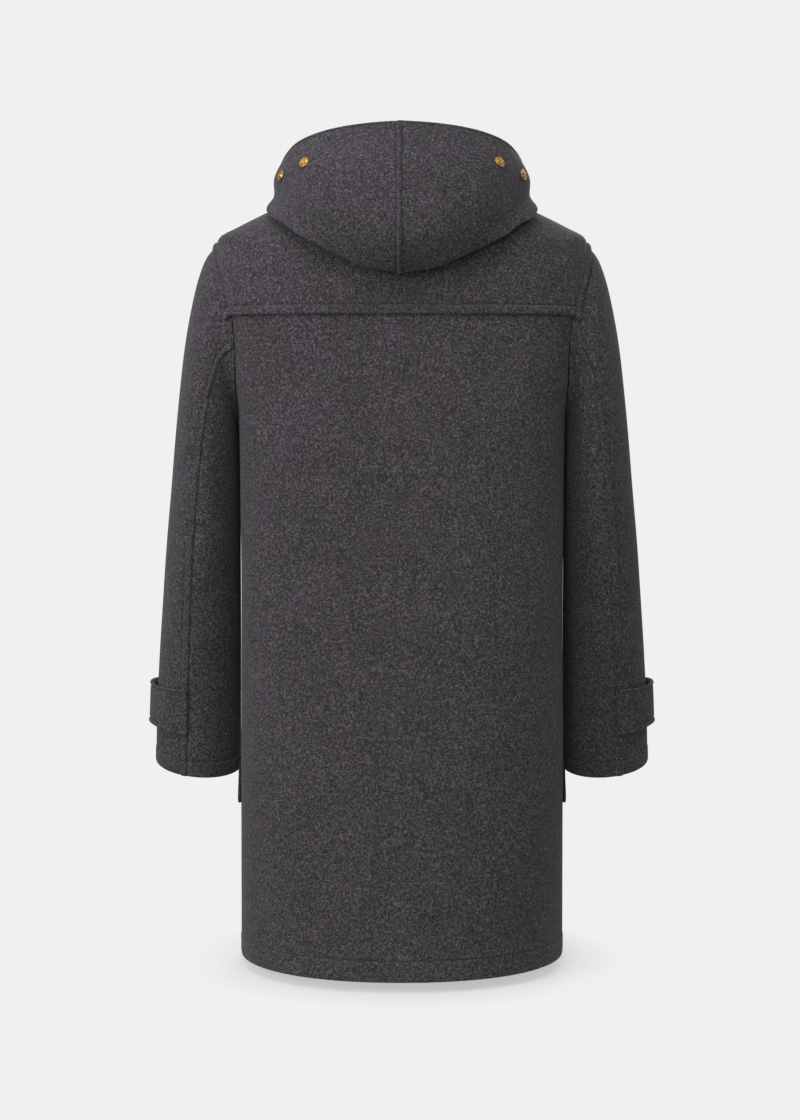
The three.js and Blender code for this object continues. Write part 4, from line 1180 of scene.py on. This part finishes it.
@dataclass
class Sleeves:
    """Both two-piece sleeves, with the lapped back seam and the stitched cuff hem."""

    shop: Workroom
    form: SleeveForm
    lap_width: float = 10.0
    cuff_width: float = 19.5
    ring_length: float = 70.5
    yoke_lap: float = 10.0
    front_turn: float = math.radians(58.71)
    creases: dict[Side, tuple[Crease, ...]] = field(default_factory=lambda: {
        Side.LEFT: (
            Crease(((232, 70, -330), (262, 62, -352), (288, 34, -366)), 17, 1.6),
            Crease(((226, 58, -420), (252, 56, -436), (290, 26, -440)), 20, 1.5),
            Crease(((218, 30, -500), (250, 40, -520), (292, 14, -512)), 18, 1.3),
            Crease(((222, 10, -600), (252, 22, -622), (300, -10, -612)), 20, 1.2),
            Crease(((230, -86, -430), (262, -80, -444), (292, -52, -440)), 17, 1.9),
            Crease(((226, -88, -486), (256, -92, -500), (296, -66, -492)), 16, 1.7),
        ),
        Side.RIGHT: (
            Crease(((230, 72, -318), (256, 66, -344), (284, 40, -352)), 18, 1.7),
            Crease(((222, 54, -404), (250, 56, -428), (288, 30, -432)), 19, 1.4),
            Crease(((220, 34, -520), (248, 38, -542), (294, 10, -538)), 20, 1.5),
            Crease(((226, -84, -440), (258, -82, -458), (292, -56, -452)), 18, 2.0),
            Crease(((228, -92, -510), (258, -94, -528), (298, -70, -520)), 17, 1.6),
        ),
    })

    def rings(self) -> Points:
        """The rows' rings, from the armhole to the cuff."""
        return steps((0.004, 0.16, 5), (0.16, 1, 8), (1, 4, 32), (4, 7, 38), (7, 11.6, 74), (11.6, 12, 30))

    def grid(self, side: Side, angles: Points, rings: Points, upper: bool) -> Patch:
        """A sleeve piece's points by angle round the arm and ring.

        Args:
            side: Which sleeve.
            angles: Its columns' angles.
            rings: Its rows' rings.
            upper: Whether it is the upper piece, which laps at the back.

        Returns:
            The grid.
        """
        ring, angle = np.meshgrid(rings, angles, indexing="ij")
        surface = self.form.point
        place, out = surface(angle, ring), self.form.normal(angle, ring)
        round_speed = speed(surface, angle, ring, True)
        back = np.abs(angle - self.form.body.soft_angle) * round_speed
        turned = angle + self.front_turn
        front = np.minimum(np.abs(turned), np.abs(turned - math.tau)) * round_speed
        height = sum(crease.press(place) for crease in self.creases[side])
        fade = smooth(0, 22, ring * speed(surface, angle, np.clip(ring, 0.02, 11.9), False))
        height = height * fade - 0.9 * (1 - smooth(0, 0.09, ring))
        seam = surface(angle, np.zeros_like(ring))
        under_lap = np.linalg.norm(place - seam, axis=-1) - self.yoke_lap
        above = smooth(self.form.body.yoke_edge - 6, self.form.body.yoke_edge + 6, seam[..., 2])
        height = height - 1.5 * above * ridge(under_lap - 0.6, 6.0)
        lapped = welt(back, self.lap_width, 1.5) + ditch(back, 0.6, 1.6)
        height = height + (lapped if upper else ditch(back, 0.7))
        height = height + ditch(front, 0.6)
        height = height + welt((self.form.rings - ring) * self.ring_length, self.cuff_width, 0.6)
        return Patch(place, out).raised(height).on(side)

    def build(self) -> None:
        """Makes the four sleeve pieces and their stitches."""
        back, nudge = self.form.body.soft_angle, -0.0005
        end = math.tau - self.front_turn
        edge = math.radians(13)
        upper = steps((back + nudge, back + edge, 18), (back + edge, end - edge, 50),
                      (end - edge, end - nudge, 6))
        under = steps((-self.front_turn + nudge, -self.front_turn + edge, 5),
                      (-self.front_turn + edge, back - edge, 32), (back - edge, back - nudge, 9))
        rings = self.rings()
        lines = []
        for side in Side:
            for name, angles in (("upper", upper), ("under", under)):
                node = f"sleeve_{side.word}_{name}"
                piece = self.shop.sheet(f"coat_{node}", [self.grid(side, angles, rings, name == "upper")])
                self.shop.enter(piece, WOOL, node)
                cuff = np.array([self.form.rings - self.cuff_width / self.ring_length])
                lines.append(self.grid(side, angles, cuff, name == "upper"))
            run = rings[rings < 10.35]
            lines.append(self.lap_line(side, run))
        self.shop.enter(self.shop.stitches("stitches_sleeves", lines), THREAD)

    def lap_line(self, side: Side, rings: Points) -> Patch:
        """The row of stitches beside the sleeve's back seam."""
        back = self.form.body.soft_angle
        start = np.full_like(rings, back)
        angle = start + self.lap_width / speed(self.form.point, start, rings, True)
        parts = [self.grid(side, np.array([a]), np.array([r]), True) for a, r in zip(angle, rings)]
        return Patch.joined(parts)


@dataclass
class Hood:
    """The hood lying on the shoulders, lapped and stitched at its centre, with its snaps."""

    shop: Workroom
    form: HoodForm
    lap_width: float = 7.0
    rim_width: float = 4.0
    snaps: tuple[tuple[float, float], ...] = ((46, 9.23), (61, 8.93))
    snap_profile: tuple[tuple[float, float], ...] = (
        (0, 0), (6.9, 0), (7.3, 0.5), (7.3, 1.0), (6.9, 1.5), (6.2, 1.75), (5.5, 1.6), (5.1, 1.3), (4.7, 1.5),
        (4.2, 2.2), (3.2, 2.5), (1.9, 2.6), (1.4, 2.4), (1.1, 1.9), (0, 1.8))
    creases: dict[Side, tuple[Crease, ...]] = field(default_factory=lambda: {
        Side.RIGHT: (
            Crease(((-38, 159, 10), (-79, 142, 3), (-105, 126, -9), (-138, 90, -21)), 8, 1.9),
            Crease(((-40, 160, -8), (-84, 142, -16), (-118, 118, -30)), 13, -1.2),
            Crease(((-60, 158, -50), (-104, 132, -62), (-132, 92, -52)), 15, 1.0),
            Crease(((-112, 40, 32), (-134, 16, 18), (-150, -24, 4)), 14, 1.1),
        ),
        Side.LEFT: (
            Crease(((50, 156, -2), (92, 134, -14), (126, 102, -18)), 13, 1.0),
            Crease(((66, 156, -56), (108, 128, -60), (134, 88, -48)), 15, 1.1),
            Crease(((110, 40, 30), (134, 22, 16), (150, -20, 2)), 14, 1.0),
        ),
    })

    def grid(self, side: Side, angles: Points, stations: Points) -> Patch:
        """Points of one half of the hood, by station and angle from the centre back."""
        station, angle = np.meshgrid(stations, angles, indexing="ij")
        place, out = self.form.point(angle, station), self.form.normal(angle, station)
        middle = angle == 0
        out = unit(np.where(middle[..., None], out * np.array([0, 1, 1]), out))
        place = place + np.where(middle, -0.015, 0.0)[..., None] * np.array([1, 0, 0])
        outside = smooth(6.3, 7.1, station)
        beside = place[..., 0] + 200 * (angle > 90)
        lapped = welt(beside, self.lap_width, 1.8, 1.2) + ditch(beside, 0.7, 1.6)
        seam = lapped if side is Side.LEFT else ditch(beside, 0.8, 3.0)
        flip = np.array([side.value, 1, 1])
        folds = sum(crease.press(place * flip) for crease in self.creases[side])
        rim = (10 - station) * speed(self.form.point, angle, np.clip(station, 0.1, 9.9), False)
        below_rim = 0.3 + 0.7 * smooth(1, 7, rim)
        height = outside * (seam * below_rim + folds) + welt(rim, self.rim_width, 0.35, 0.7)
        return Patch(place, out).raised(height).on(side)

    def build(self) -> None:
        """Makes both halves, the stitches and the brass snaps."""
        angles = steps((0, 4.2, 12), (4.2, 60, 32), (60, 120, 30), (120, 179, 24))
        stations = steps((0, 4, 18), (4, 6.5, 18), (6.5, 9, 44), (9, 9.86, 16), (9.86, 10, 14))
        lines = []
        for side in Side:
            half = self.shop.sheet(f"hood_half_{side.word}", [self.grid(side, angles, stations)])
            self.shop.enter(half, WOOL, f"hood_{side.word}")
            rim = self.grid(side, angles, np.array([9.94]))
            lines.append(rim)
        parts = [self.lap_point(station) for station in stations[stations > 6.9]]
        lines.append(Patch.joined(parts))
        self.shop.enter(self.shop.stitches("stitches_hood", lines), THREAD)
        for side in Side:
            for number, (angle, station) in enumerate(self.snaps, start=1):
                seat = self.grid(side, np.array([angle]), np.array([station]))
                cap = self.shop.turned(f"snap_cap_{side.word}_{number}", self.snap_profile,
                                       seat.raised(0.15).place[0, 0], seat.out[0, 0])
                self.shop.enter(cap, BRASS, f"snap_{side.word}_{number}")

    def lap_point(self, station: float) -> Patch:
        """The point of the centre lap's stitches at a station."""
        radius = float(np.linalg.norm(self.form.point(np.array(1.0), np.array(station))[:2]))
        angle = math.degrees(self.lap_width / max(radius, 40.0))
        return self.grid(Side.LEFT, np.array([angle]), np.array([station]))


@dataclass
class CuffTab:
    """The strap round a cuff, from the sleeve's back seam to its buttoned point in front."""

    shop: Workroom
    form: SleeveForm
    middle: float = -668.0
    half: float = 29.4
    rest: float = 0.5
    lift: float = 6.0
    rise: float = 4.0
    point_share: float = 0.82
    point_half: float = 0.3
    button_share: float = 0.84
    stitch_width: float = 5.5
    length: float = 185.0
    flare: float = 1.6
    taper: float = 0.1
    button_radius: float = 11.0

    def angles(self) -> tuple[Points, Points]:
        """The armhole's steps that the tab spans, and their angles round the arm."""
        yoke = self.form.body.yoke_angle
        below = [yoke * i / 5 for i in range(6)]
        beside = [yoke + (math.pi - yoke) * i / 4 for i in range(1, 5)]
        known = below + beside
        count = np.arange(4, 14)
        return count, np.array([known[k] if k <= 9 else math.tau - known[18 - k] for k in count])

    def grid(self, shares: Points, lines: Points) -> Patch:
        """The tab's points by share along it and across it, -1 at its lower edge."""
        acrosses, share = np.meshgrid(lines, shares, indexing="ij")
        count, known = self.angles()
        angle = np.interp(4 + share * 9, count, known)
        narrow = np.maximum(0, share - self.point_share) / (1 - self.point_share)
        drawn_in = smooth(0, 0.38, share)
        half = self.half * (1 - self.taper * drawn_in) * (1 + (self.point_half - 1) * narrow**1.3)
        swell = np.sin(np.pi * np.clip(share, 0, 1)) ** 0.7
        z = self.middle + self.rise * swell + 3 * drawn_in + acrosses * half
        ring = self.form.ring_at(angle, z)
        place, out = self.form.point(angle, ring), self.form.normal(angle, ring)
        edge = np.minimum((1 - np.abs(acrosses)) * half, (1 - share) * self.length)
        flare = self.flare * smooth(0.2, 1.0, acrosses) * (1 - smooth(0.08, 0.34, share))
        height = self.rest + self.lift * swell + CLOTH + flare + welt(edge, self.stitch_width, 0.9, 0.9)
        return Patch(place, out).raised(height)

    def build(self) -> None:
        """Makes both tabs with their stitches and buttons."""
        shares = steps((0.004, 0.8, 76), (0.8, 0.96, 18), (0.96, 1.0, 11))
        lines = steps((1, 0.7, 10), (0.7, -0.7, 10), (-0.7, -1, 10))
        inset = 1 - self.stitch_width / self.half
        sewn = []
        for side in Side:
            tab = self.shop.sheet(f"tab_{side.word}", [self.grid(shares, lines).on(side)])
            self.shop.enter(tab, WOOL, f"cuff_tab_{side.word}")
            run = np.linspace(0.01, 0.955, 90)
            sewn += [self.grid(run, np.array([across_at])).on(side) for across_at in (inset, -inset)]
            sewn.append(self.grid(np.array([0.972]), np.linspace(0.7, -0.7, 9)).on(side))
            self.button(side)
        self.shop.enter(self.shop.stitches("stitches_tabs", sewn), THREAD)

    def button(self, side: Side) -> None:
        """Makes one button with its dished face and thread crossed over it at four points."""
        seat = self.grid(np.array([self.button_share]), np.array([0.0])).on(side)
        place, out = seat.raised(0.2).place[0, 0], seat.out[0, 0]
        r = self.button_radius
        profile = ((0, 0), (r - 1, 0), (r - 0.2, 0.6), (r, 1.6), (r, 3.2), (r - 0.4, 3.8), (r - 1.2, 4.0),
                   (r - 2.2, 3.9), (r - 3.0, 3.2), (r - 3.6, 3.0), (0, 3.0))
        face = self.shop.turned(f"button_{side.word}", profile, place, out, 48)
        self.shop.enter(face, HORN, f"cuff_button_{side.word}")
        turn = np.array(Vector(out).to_track_quat("Z", "Y").to_matrix())
        holes = []
        for a, b in ((-2, -2), (2, 2), (2, -2), (-2, 2)):
            holes.append(place + turn @ np.array([a, b, 3.05]))
        lines = [Patch(np.array([holes[i], holes[j]]), np.array([out, out])) for i, j in ((0, 1), (2, 3))]
        thread = self.shop.stitches(f"button_thread_{side.word}", lines, pitch=2.8, length=5.6,
                                    radius=0.55, lift=0.3)
        self.shop.enter(thread, THREAD)


@dataclass
class Pockets:
    """A patch pocket with a flap on each front."""

    shop: Workroom
    form: BodyForm
    rest: float = 0.6
    column_width: float = 38.0
    stitch_width: float = 7.0
    pocket_span: tuple[float, float, float, float] = (-749.0, -930.0, 1.03, 4.9)
    pocket_corner: tuple[float, float] = (30, 26)
    flap_span: tuple[float, float, float, float] = (-724.0, -793.0, 0.75, 4.97)
    flap_corner: tuple[float, float] = (16, 13)
    fold: float = -747.0

    def grid(self, span: tuple[float, float, float, float], corner: tuple[float, float], levels: Points,
             shares: Points, rests: Points) -> Patch:
        """A pocket's or flap's points on the left front.

        Args:
            span: Its top, bottom, first and last column.
            corner: Its lower corners' height and width.
            levels: Its rows' levels.
            shares: Its columns' shares of the width.
            rests: How far each row lies off the front.

        Returns:
            The grid.
        """
        top, bottom, first, last = span
        level, share = np.meshgrid(levels, shares, indexing="ij")
        short = np.clip(corner[0] - (level - bottom), 0, corner[0]) / corner[0]
        cut = corner[1] * (1 - np.sqrt(1 - short**2)) / self.column_width
        column = first + cut + (last - first - 2 * cut) * share
        turn = self.form.front_turn(level, column)
        place, out = self.form.point(turn, level), self.form.normal(turn, level)
        side = np.minimum(share, 1 - share) * (last - first - 2 * cut) * self.column_width
        edge = np.minimum(side, level - bottom)
        height = rests[:, None] + CLOTH + welt(edge, self.stitch_width, 0.5) + self.form.drape(place)
        return Patch(place, out).raised(height)

    def build(self) -> None:
        """Makes both pockets and both flaps with their stitches."""
        shares = steps((0, 0.08, 11), (0.08, 0.92, 26), (0.92, 1, 11))
        pocket_span, flap_span, fold = self.pocket_span, self.flap_span, self.fold
        pocket_corner, flap_corner = self.pocket_corner, self.flap_corner
        pocket_rows = steps((pocket_span[0], -902, 30), (-902, pocket_span[1], 26))
        flap_rows = steps((flap_span[0], -732, 8), (-732, -778, 12), (-778, flap_span[1], 15))
        sewn = []
        for side in Side:
            flat = np.full(len(pocket_rows), self.rest)
            pocket = self.grid(pocket_span, pocket_corner, pocket_rows, shares, flat)
            piece = self.shop.sheet(f"pocket_bag_{side.word}", [pocket.on(side)])
            self.shop.enter(piece, WOOL, f"pocket_{side.word}")
            over = (1 - smooth(fold, flap_span[0], flap_rows)) * (CLOTH + self.rest)
            hanging = np.clip((fold - flap_rows) / (fold - flap_span[1]), 0, 1)
            rests = self.rest + over + 2 * hanging**1.5
            flap = self.grid(flap_span, flap_corner, flap_rows, shares, rests)
            piece = self.shop.sheet(f"flap_{side.word}", [flap.on(side)])
            self.shop.enter(piece, WOOL, f"pocket_flap_{side.word}")
            inset = self.stitch_width
            wide = (pocket_span[3] - pocket_span[2]) * self.column_width
            lowest_row = pocket_span[1] + inset
            rows = pocket_rows[pocket_rows > lowest_row]
            full = np.full(len(rows), self.rest)
            for at in (inset / wide, 1 - inset / wide):
                sewn.append(self.grid(pocket_span, pocket_corner, rows, np.array([at]), full).on(side))
            foot = np.array([lowest_row])
            sewn.append(self.grid(pocket_span, pocket_corner, foot, shares[3:-3], full[:1]).on(side))
            for level in (flap_span[1] + inset, flap_span[0] - 4.0):
                row = np.array([level])
                lift = np.interp(-row, -flap_rows, rests)
                sewn.append(self.grid(flap_span, flap_corner, row, shares[2:-2], lift).on(side))
        self.shop.enter(self.shop.stitches("stitches_pockets", sewn), THREAD)


@dataclass
class Fastenings:
    """Four toggles with leather loops and patches down the front."""

    shop: Workroom
    form: BodyForm
    levels: tuple[float, ...] = (-233, -362, -491, -620)
    patch: tuple[tuple[float, float], ...] = ((50, 10), (66, 19), (80, 22), (90, 20))
    loop_start: float = 49.5
    loop_turn: float = 4.0
    loop_radius: float = 8.0
    lace_half: float = 2.5
    toggle_x: float = 3.0
    toggle_half: float = 24.0
    toggle_lift: float = 12.0
    toggle_profile: tuple[tuple[float, float], ...] = (
        (0, -1), (1.6, -0.995), (2.6, -0.97), (3.7, -0.9), (4.6, -0.8), (5.5, -0.62), (6.1, -0.42),
        (6.4, -0.26), (6.45, -0.16), (5.7, -0.1), (5.5, 0), (5.7, 0.1), (6.45, 0.16), (6.4, 0.28),
        (6.2, 0.45), (5.8, 0.63), (5.2, 0.8), (4.4, 0.92), (3.2, 0.985), (1.8, 1), (0, 1))
    band_profile: tuple[tuple[float, float], ...] = (
        (5.6, -1.9), (6.3, -2.0), (6.9, -1.2), (7.0, 0), (6.9, 1.2), (6.3, 2.0), (5.6, 1.9), (5.6, -1.9))

    def at(self, x: Points, level: Points, rest: Points) -> Patch:
        """Points of the front by their distance beside the centre."""
        turn = self.form.turn_at_front(level, x)
        return Patch(self.form.point(turn, level), self.form.normal(turn, level)).raised(rest)

    def patch_grid(self, level: float, under: bool, xs: Points, lines: Points) -> Patch:
        """A leather patch's points on one front, as on the wearer's left."""
        line, x = np.meshgrid(lines, xs, indexing="ij")
        known = np.array(self.patch, float)
        half = np.interp(x, known[:, 0], known[:, 1])
        rounding = ridge(x - 92.5, 9) * 2.2 + ridge(x - 48, 5) * 1.4
        at = level + line * (half - rounding)
        column = 5 + 5 * (self.form.placket_reach - x) / (self.form.placket_reach + self.form.overlap)
        depth = self.form.under_depth(at, column) if under else 0.0
        edge = np.minimum((1 - np.abs(line)) * half, np.minimum(x - 50, 90 - x))
        crown = 0.35 * smooth(0, 5, edge) - 0.3 * ridge(edge - 3, 1.2)
        return self.at(x, at, 0.3 + LEATHER + crown - depth)

    def lace(self, name: str, xs: Points, zs: Points, ways: Points, rest: Points) -> bpy.types.Object:
        """A flat leather lace with rounded edges along a line on the front.

        Args:
            name: The piece's name.
            xs: The line's places beside the centre front.
            zs: The line's levels.
            ways: Directions across the lace at each point, as rows of x and z.
            rest: How far the lace's underside lies off the front.

        Returns:
            The piece.
        """
        wide = np.linspace(-1, 1, 5)[:, None]
        x, z = xs[None, :] + wide * ways[:, 0], zs[None, :] + wide * ways[:, 1]
        crown = 0.3 * (1 - wide**2)
        grid = self.at(x, z, rest[None, :] + LEATHER + crown)
        return self.shop.sheet(name, [grid], LEATHER, 0.85)

    def build(self) -> None:
        """Makes all four fastenings."""
        sewn = []
        for number, level in enumerate(self.levels, start=1):
            for side in Side:
                under = side is Side.RIGHT
                xs, lines = np.linspace(50, 90, 25), np.linspace(1, -1, 21)
                grid = self.patch_grid(level, under, xs, lines).on(side)
                piece = self.shop.sheet(f"leather_patch_{side.word}_{number}", [grid], LEATHER, 0.7)
                self.shop.enter(piece, HIDE, f"patch_{side.word}_{number}")
                inside = np.linspace(53, 87, 24)
                for line in (0.84, -0.84):
                    sewn.append(self.patch_grid(level, under, inside, np.array([line])).on(side))
                for x in (53, 87):
                    down = np.linspace(0.78, -0.78, 12)
                    sewn.append(self.patch_grid(level, under, np.array([x]), down).on(side))
            self.loop(number, level)
            self.stem(number, level)
            self.toggle(number, level)
        self.shop.enter(self.shop.stitches("stitches_patches", sewn, 3.2, 2.3, 0.36), THREAD)

    def loop(self, number: int, level: float) -> None:
        """Makes the lace that runs out from the left patch, round the toggle and back."""
        straight = np.linspace(self.loop_start, self.loop_turn, 24)[:-1]
        bend = np.linspace(0, np.pi, 19)
        xs = np.concatenate((straight, self.loop_turn - self.loop_radius * np.sin(bend), straight[::-1]))
        ones = np.ones_like(straight)
        zs = np.concatenate((ones, np.cos(bend), -ones)) * self.loop_radius
        out_x = np.concatenate((0 * ones, -np.sin(bend), 0 * ones))
        out_z = np.concatenate((ones, np.cos(bend), -ones))
        rest = 0.6 + (LEATHER + SEAM) * (1 - smooth(10, 40, xs))
        ways = np.stack((out_x, out_z), axis=-1) * self.lace_half
        piece = self.lace(f"leather_loop_{number}", xs, level + zs, ways, rest)
        self.shop.enter(piece, HIDE, f"loop_{number}")

    def stem(self, number: int, level: float) -> None:
        """Makes the lace that holds the toggle to the right patch."""
        xs = np.linspace(-49.5, 1.0, 30)
        rest = np.interp(xs, (-49.5, -44, -40, -20, 1), (-2.1, -0.8, 0.5, 0.5, 0.5))
        ways = np.tile((0.0, 3.0), (len(xs), 1))
        piece = self.lace(f"leather_stem_{number}", xs, np.full_like(xs, level), ways, rest)
        self.shop.enter(piece, HIDE, f"stem_{number}")

    def toggle(self, number: int, level: float) -> None:
        """Makes one horn toggle and the lace round its waist."""
        seat = self.at(np.array(self.toggle_x), np.array(level), np.array(self.toggle_lift))
        profile = [(radius, share * self.toggle_half) for radius, share in self.toggle_profile]
        axis = np.array([1.0, 0.0, 0.0])
        horn = self.shop.turned(f"horn_toggle_{number}", profile, seat.place, axis, 32)
        self.shop.enter(horn, HORN, f"toggle_{number}")
        band = self.shop.turned(f"toggle_lace_{number}", self.band_profile, seat.place, axis, 32)
        self.shop.enter(band, HIDE)


@dataclass
class Studio:
    """A plain pale floor that fades into the pale surroundings, soft light and the camera."""

    floor_level: float = -0.983
    pale: float = 0.871
    ambient: float = 0.46
    camera_place: tuple[float, float, float] = (0.0025, 2.45, -0.288)
    lens: float = 62.0
    sensor: float = 36.0
    drop: float = -0.133
    hem_pace: tuple[float, float] = (4.93, 6.67)
    clearness: float = 0.56
    chest: tuple[float, float, float] = (0, 0, -0.45)

    def floor(self) -> None:
        """Lays the floor, clear of its edge so that no horizon shows."""
        bm = bmesh.new()
        bmesh.ops.create_circle(bm, cap_ends=True, segments=96, radius=3.2)
        bmesh.ops.translate(bm, verts=bm.verts[:], vec=(0, 0, self.floor_level))
        mesh = bpy.data.meshes.new("studio_floor")
        bm.to_mesh(mesh)
        bm.free()
        floor = placed("studio_floor", mesh)
        made = bpy.data.materials.new("pale_floor")
        n = Nodes.cleared(made)
        where = n.add("ShaderNodeTexCoord").outputs["Object"]
        flat = n.add("ShaderNodeVectorMath", {"operation": "MULTIPLY"}, i0=where, i1=(*self.hem_pace, 0.0))
        away = n.add("ShaderNodeVectorMath", {"operation": "LENGTH"}, i0=flat.outputs[0]).outputs["Value"]
        shader = n.add("ShaderNodeBsdfDiffuse", None, Color=(0.86, 0.86, 0.86, 1.0))
        clear = n.add("ShaderNodeBsdfTransparent")
        fade = n.span(away, 1.02, 1.42, self.clearness, 1.0)
        mixed = n.add("ShaderNodeMixShader", None, i0=fade, i1=shader.outputs[0], i2=clear.outputs[0])
        n.add("ShaderNodeOutputMaterial", None, Surface=mixed.outputs[0])
        floor.data.materials.append(made)

    def surroundings(self) -> None:
        """Makes the pale surroundings: soft light on the coat, and an even pale field behind it."""
        world = bpy.data.worlds.new("pale_room")
        bpy.context.scene.world = world
        n = Nodes.cleared(world)
        way = n.add("ShaderNodeTexCoord").outputs["Generated"]
        up = n.add("ShaderNodeSeparateXYZ", None, Vector=way).outputs["Z"]
        strength = n.span(up, -0.5, 0.6, self.ambient * 0.45, self.ambient * 1.25)
        soft = n.add("ShaderNodeBackground", None, Color=(0.98, 0.99, 1.0, 1.0), Strength=strength)
        seen = n.add("ShaderNodeBackground", None, Color=(self.pale, self.pale, self.pale, 1.0), Strength=1.0)
        ray = n.add("ShaderNodeLightPath").outputs["Is Camera Ray"]
        mixed = n.add("ShaderNodeMixShader", None, i0=ray, i1=soft.outputs[0], i2=seen.outputs[0])
        n.add("ShaderNodeOutputWorld", None, Surface=mixed.outputs[0])

    def lamp(self, name: str, place: tuple[float, float, float], size: float, power: float) -> None:
        """Hangs a soft lamp that points at the coat's chest.

        Args:
            name: The lamp's name.
            place: Where it hangs, in metres.
            size: Its width, in metres.
            power: Its power in watts.
        """
        data = bpy.data.lights.new(name, "AREA")
        data.shape, data.size, data.energy = "DISK", size, power
        lamp = placed(name, data)
        lamp.location = place
        lamp.rotation_euler = (Vector(self.chest) - Vector(place)).to_track_quat("-Z", "Y").to_euler()

    def build(self) -> None:
        """Makes the floor, the light and the camera."""
        self.floor()
        self.surroundings()
        self.lamp("top_light", (0.5, 1.1, 1.8), 1.8, 20.0)
        self.lamp("key_light", (2.4, 1.5, 0.3), 1.4, 28.0)
        self.lamp("fill_light", (0.5, 3.2, 0.1), 1.5, 22.0)
        self.lamp("front_light", (-0.8, -3.0, 1.2), 2.0, 42.0)
        bpy.context.scene.view_settings.view_transform = "Standard"
        data = bpy.data.cameras.new("camera")
        data.lens, data.sensor_width, data.shift_y = self.lens, self.sensor, self.drop
        camera = placed("camera", data)
        camera.location = self.camera_place
        camera.rotation_euler = Vector((0, -1, 0)).to_track_quat("-Z", "Y").to_euler()
        bpy.context.scene.camera = camera


def main() -> None:
    """Builds the coat piece by piece."""
    logging.basicConfig(level=logging.INFO, format="%(relativeCreated)d ms: %(message)s")
    shop = Workroom()
    body = BodyForm()
    arm = SleeveForm(body)
    Studio().build()
    BodyPanels(shop, body).build()
    Yoke(shop, body, arm).build()
    Sleeves(shop, arm).build()
    Hood(shop, HoodForm(body)).build()
    CuffTab(shop, arm).build()
    Pockets(shop, body).build()
    Fastenings(shop, body).build()
    LOG.info("%d pieces", len(shop.made))


if __name__ == "__main__":
    main()
